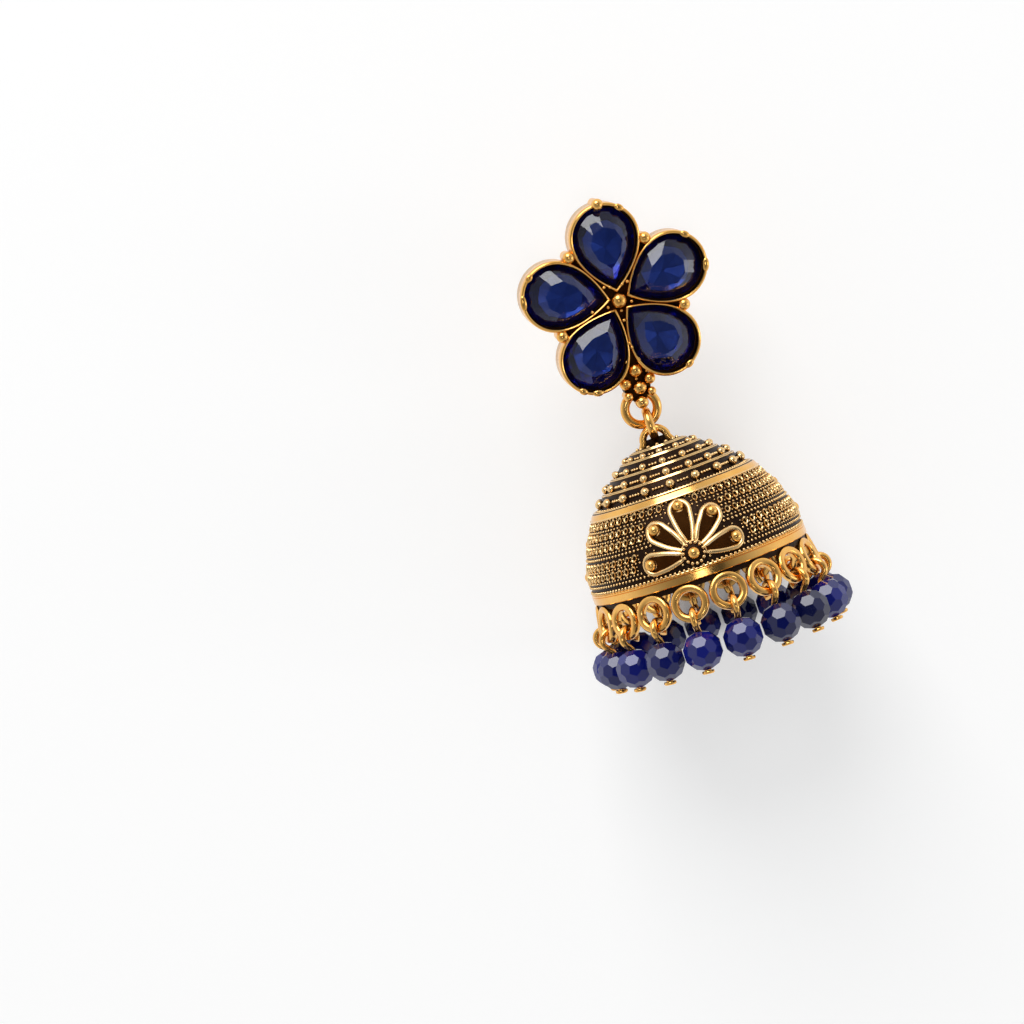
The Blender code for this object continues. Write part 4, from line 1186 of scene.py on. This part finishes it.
# Opal blue glass: nearly opaque royal blue to inky navy, a tint of its own for each bead, with facets that
# are a little darker or lighter than their neighbours and shine sharply.
bead_glass, tree, output = new_material("opal_blue_glass")
tint = add_node(tree, "ShaderNodeAttribute", {"attribute_name": "tint"})
bead_colour = add_node(tree, "ShaderNodeMix", {"data_type": "RGBA"}, {
    "Factor": tint.outputs["Fac"], "A": hex_colour(BEAD_INK), "B": hex_colour(BEAD_ROYAL)})
facet = add_node(tree, "ShaderNodeAttribute", {"attribute_name": "facet"})
bead_depth = add_node(tree, "ShaderNodeMix", {"data_type": "RGBA"}, {
    "Factor": facet.outputs["Fac"], "A": hex_colour(BEAD_DARK), "B": bead_colour.outputs["Result"]})
bead_shader = add_node(tree, "ShaderNodeBsdfPrincipled", inputs={
    "Base Color": bead_depth.outputs["Result"], "Roughness": 0.05, "IOR": 1.55,
    "Specular IOR Level": 0.55, "Transmission Weight": 0.1})
tree.links.new(bead_shader.outputs["BSDF"], output.inputs["Surface"])


def faceted_bead(facing):
    """A ball ground to forty-two flat facets that face a given way, drilled along Y."""
    sphere = bmesh.new()
    bmesh.ops.create_icosphere(sphere, subdivisions=2, radius=1.0)
    shape = bmesh.new()
    bmesh.ops.create_cube(shape, size=3 * BEAD_RADIUS)
    for vertex in sphere.verts:
        direction = facing @ vertex.co.normalized()
        cut = bmesh.ops.bisect_plane(shape, geom=shape.verts[:] + shape.edges[:] + shape.faces[:],
                                     plane_co=direction * FACET_REACH, plane_no=direction, clear_outer=True)
        rim = [part for part in cut["geom_cut"] if isinstance(part, bmesh.types.BMEdge)]
        if rim:
            bmesh.ops.contextual_create(shape, geom=rim)
    sphere.free()
    bmesh.ops.recalc_face_normals(shape, faces=shape.faces)
    body = make_object("bead_blank", shape, [bead_glass])
    bore = [(0, -DRILL_REACH), (BEAD_HOLE, -DRILL_REACH), (BEAD_HOLE, DRILL_REACH), (0, DRILL_REACH)]
    drill = make_object("drill", spun(bore, 20, (0, 1, 0), (0, 0, 1)), [bead_glass])
    cut = body.modifiers.new("drill", "BOOLEAN")
    cut.operation = "DIFFERENCE"
    cut.solver = "EXACT"
    cut.object = drill
    bpy.context.view_layer.update()
    mesh = bpy.data.meshes.new_from_object(body.evaluated_get(bpy.context.evaluated_depsgraph_get()))
    bpy.data.objects.remove(body)
    bpy.data.objects.remove(drill)
    return mesh


wire_path = [Vector((0, -CAP_TOP, 0)), Vector((0, -PIN_LOOP_RADIUS - PIN_WIRE_HALF, 0))]
for step in range(PIN_LOOP_STEPS + 1):
    angle = math.radians(PIN_LOOP_TURNS[0] + (PIN_LOOP_TURNS[1] - PIN_LOOP_TURNS[0]) * step / PIN_LOOP_STEPS)
    wire_path.append(Vector((0, math.sin(angle), math.cos(angle))) * PIN_LOOP_RADIUS)
for number, (name, angle) in enumerate(zip(bead_names, ring_turns), start=1):
    swing = Matrix.Rotation(math.radians(-BEAD_SWING), 4, "Z")
    hang = round_bell(angle, PIN_LOOP_HEIGHT, PIN_LOOP_CIRCLE, BEAD_FLARE) @ swing
    random.seed(number)
    spin = random.uniform(-1, 1) * FACET_SCATTER
    facing = (bell_turn @ hang.to_quaternion().to_matrix().to_4x4()).inverted()
    for turn, axis in ((spin, "Y"), (-FACET_LIFT, "X"), (FACET_TURN, "Z")):
        facing = facing @ Matrix.Rotation(math.radians(turn), 4, axis)
    shape = bmesh.new()
    shape.from_mesh(faceted_bead(facing.to_3x3()))
    bead = make_object(f"glass_bead_{number:02d}", shape, [bead_glass],
                       bell_place @ hang @ Matrix.Translation((0, -BEAD_DROP, 0)), sharp=5)
    shade = bead.data.attributes.new("tint", "FLOAT", "POINT")
    shade.data.foreach_set("value", [BEAD_TINTS[number - 1]] * len(bead.data.vertices))
    facets = bead.data.attributes.new("facet", "FLOAT", "FACE")
    facets.data.foreach_set("value", [random.uniform(*FACET_SHADES) for _ in bead.data.polygons])
    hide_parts(name)
    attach(bead, "root")
    wire = swept(wire_path, PIN_WIRE_HALF, PIN_WIRE_HALF, 12, Vector((1, 0, 0)))
    cap = spun([(reach, -CAP_TOP - depth) for reach, depth in CAP_SECTION], 20, (0, 1, 0), (0, 0, 1))
    pin = make_object(f"head_pin_{number:02d}", joined([wire, cap]), [polished_gold], bell_place @ hang)
    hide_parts(f"bead_pin_{number:02d}")
    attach(pin, "root")

# Clutch: a plain turned disc with a bore, in polished gold plate, pushed on the ear post behind the ear.
# The photograph doesn't show it, so it has only softened edges.
CLUTCH_RADIUS = 2.7
CLUTCH_THICKNESS = 1.8
CLUTCH_BORE = 0.6
CLUTCH_EDGE = (
    # how far in from the rim, depth from the nearer face
    (0.30, 0.00),
    (0.08, 0.12),
    (0.00, 0.35),
)
CLUTCH_BORE_EDGE = 0.1

clutch_centre = (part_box("ear_clutch")[0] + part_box("ear_clutch")[1]) / 2
half_clutch = CLUTCH_THICKNESS / 2
clutch_profile = [(CLUTCH_BORE, -half_clutch)]
clutch_profile += [(CLUTCH_RADIUS - inward, depth - half_clutch) for inward, depth in CLUTCH_EDGE]
clutch_profile += [(CLUTCH_RADIUS - inward, half_clutch - depth) for inward, depth in CLUTCH_EDGE[::-1]]
clutch_profile += [(CLUTCH_BORE + CLUTCH_BORE_EDGE, half_clutch),
                   (CLUTCH_BORE, half_clutch - CLUTCH_BORE_EDGE)]
clutch_disc = spun(clutch_profile, 48, (0, 0, 1), (1, 0, 0), closed=True)
clutch = make_object("round_clutch", clutch_disc, [polished_gold],
                     Matrix.Translation(clutch_centre) @ Matrix.Scale(MM, 4))
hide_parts("ear_clutch")
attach(clutch, "root")
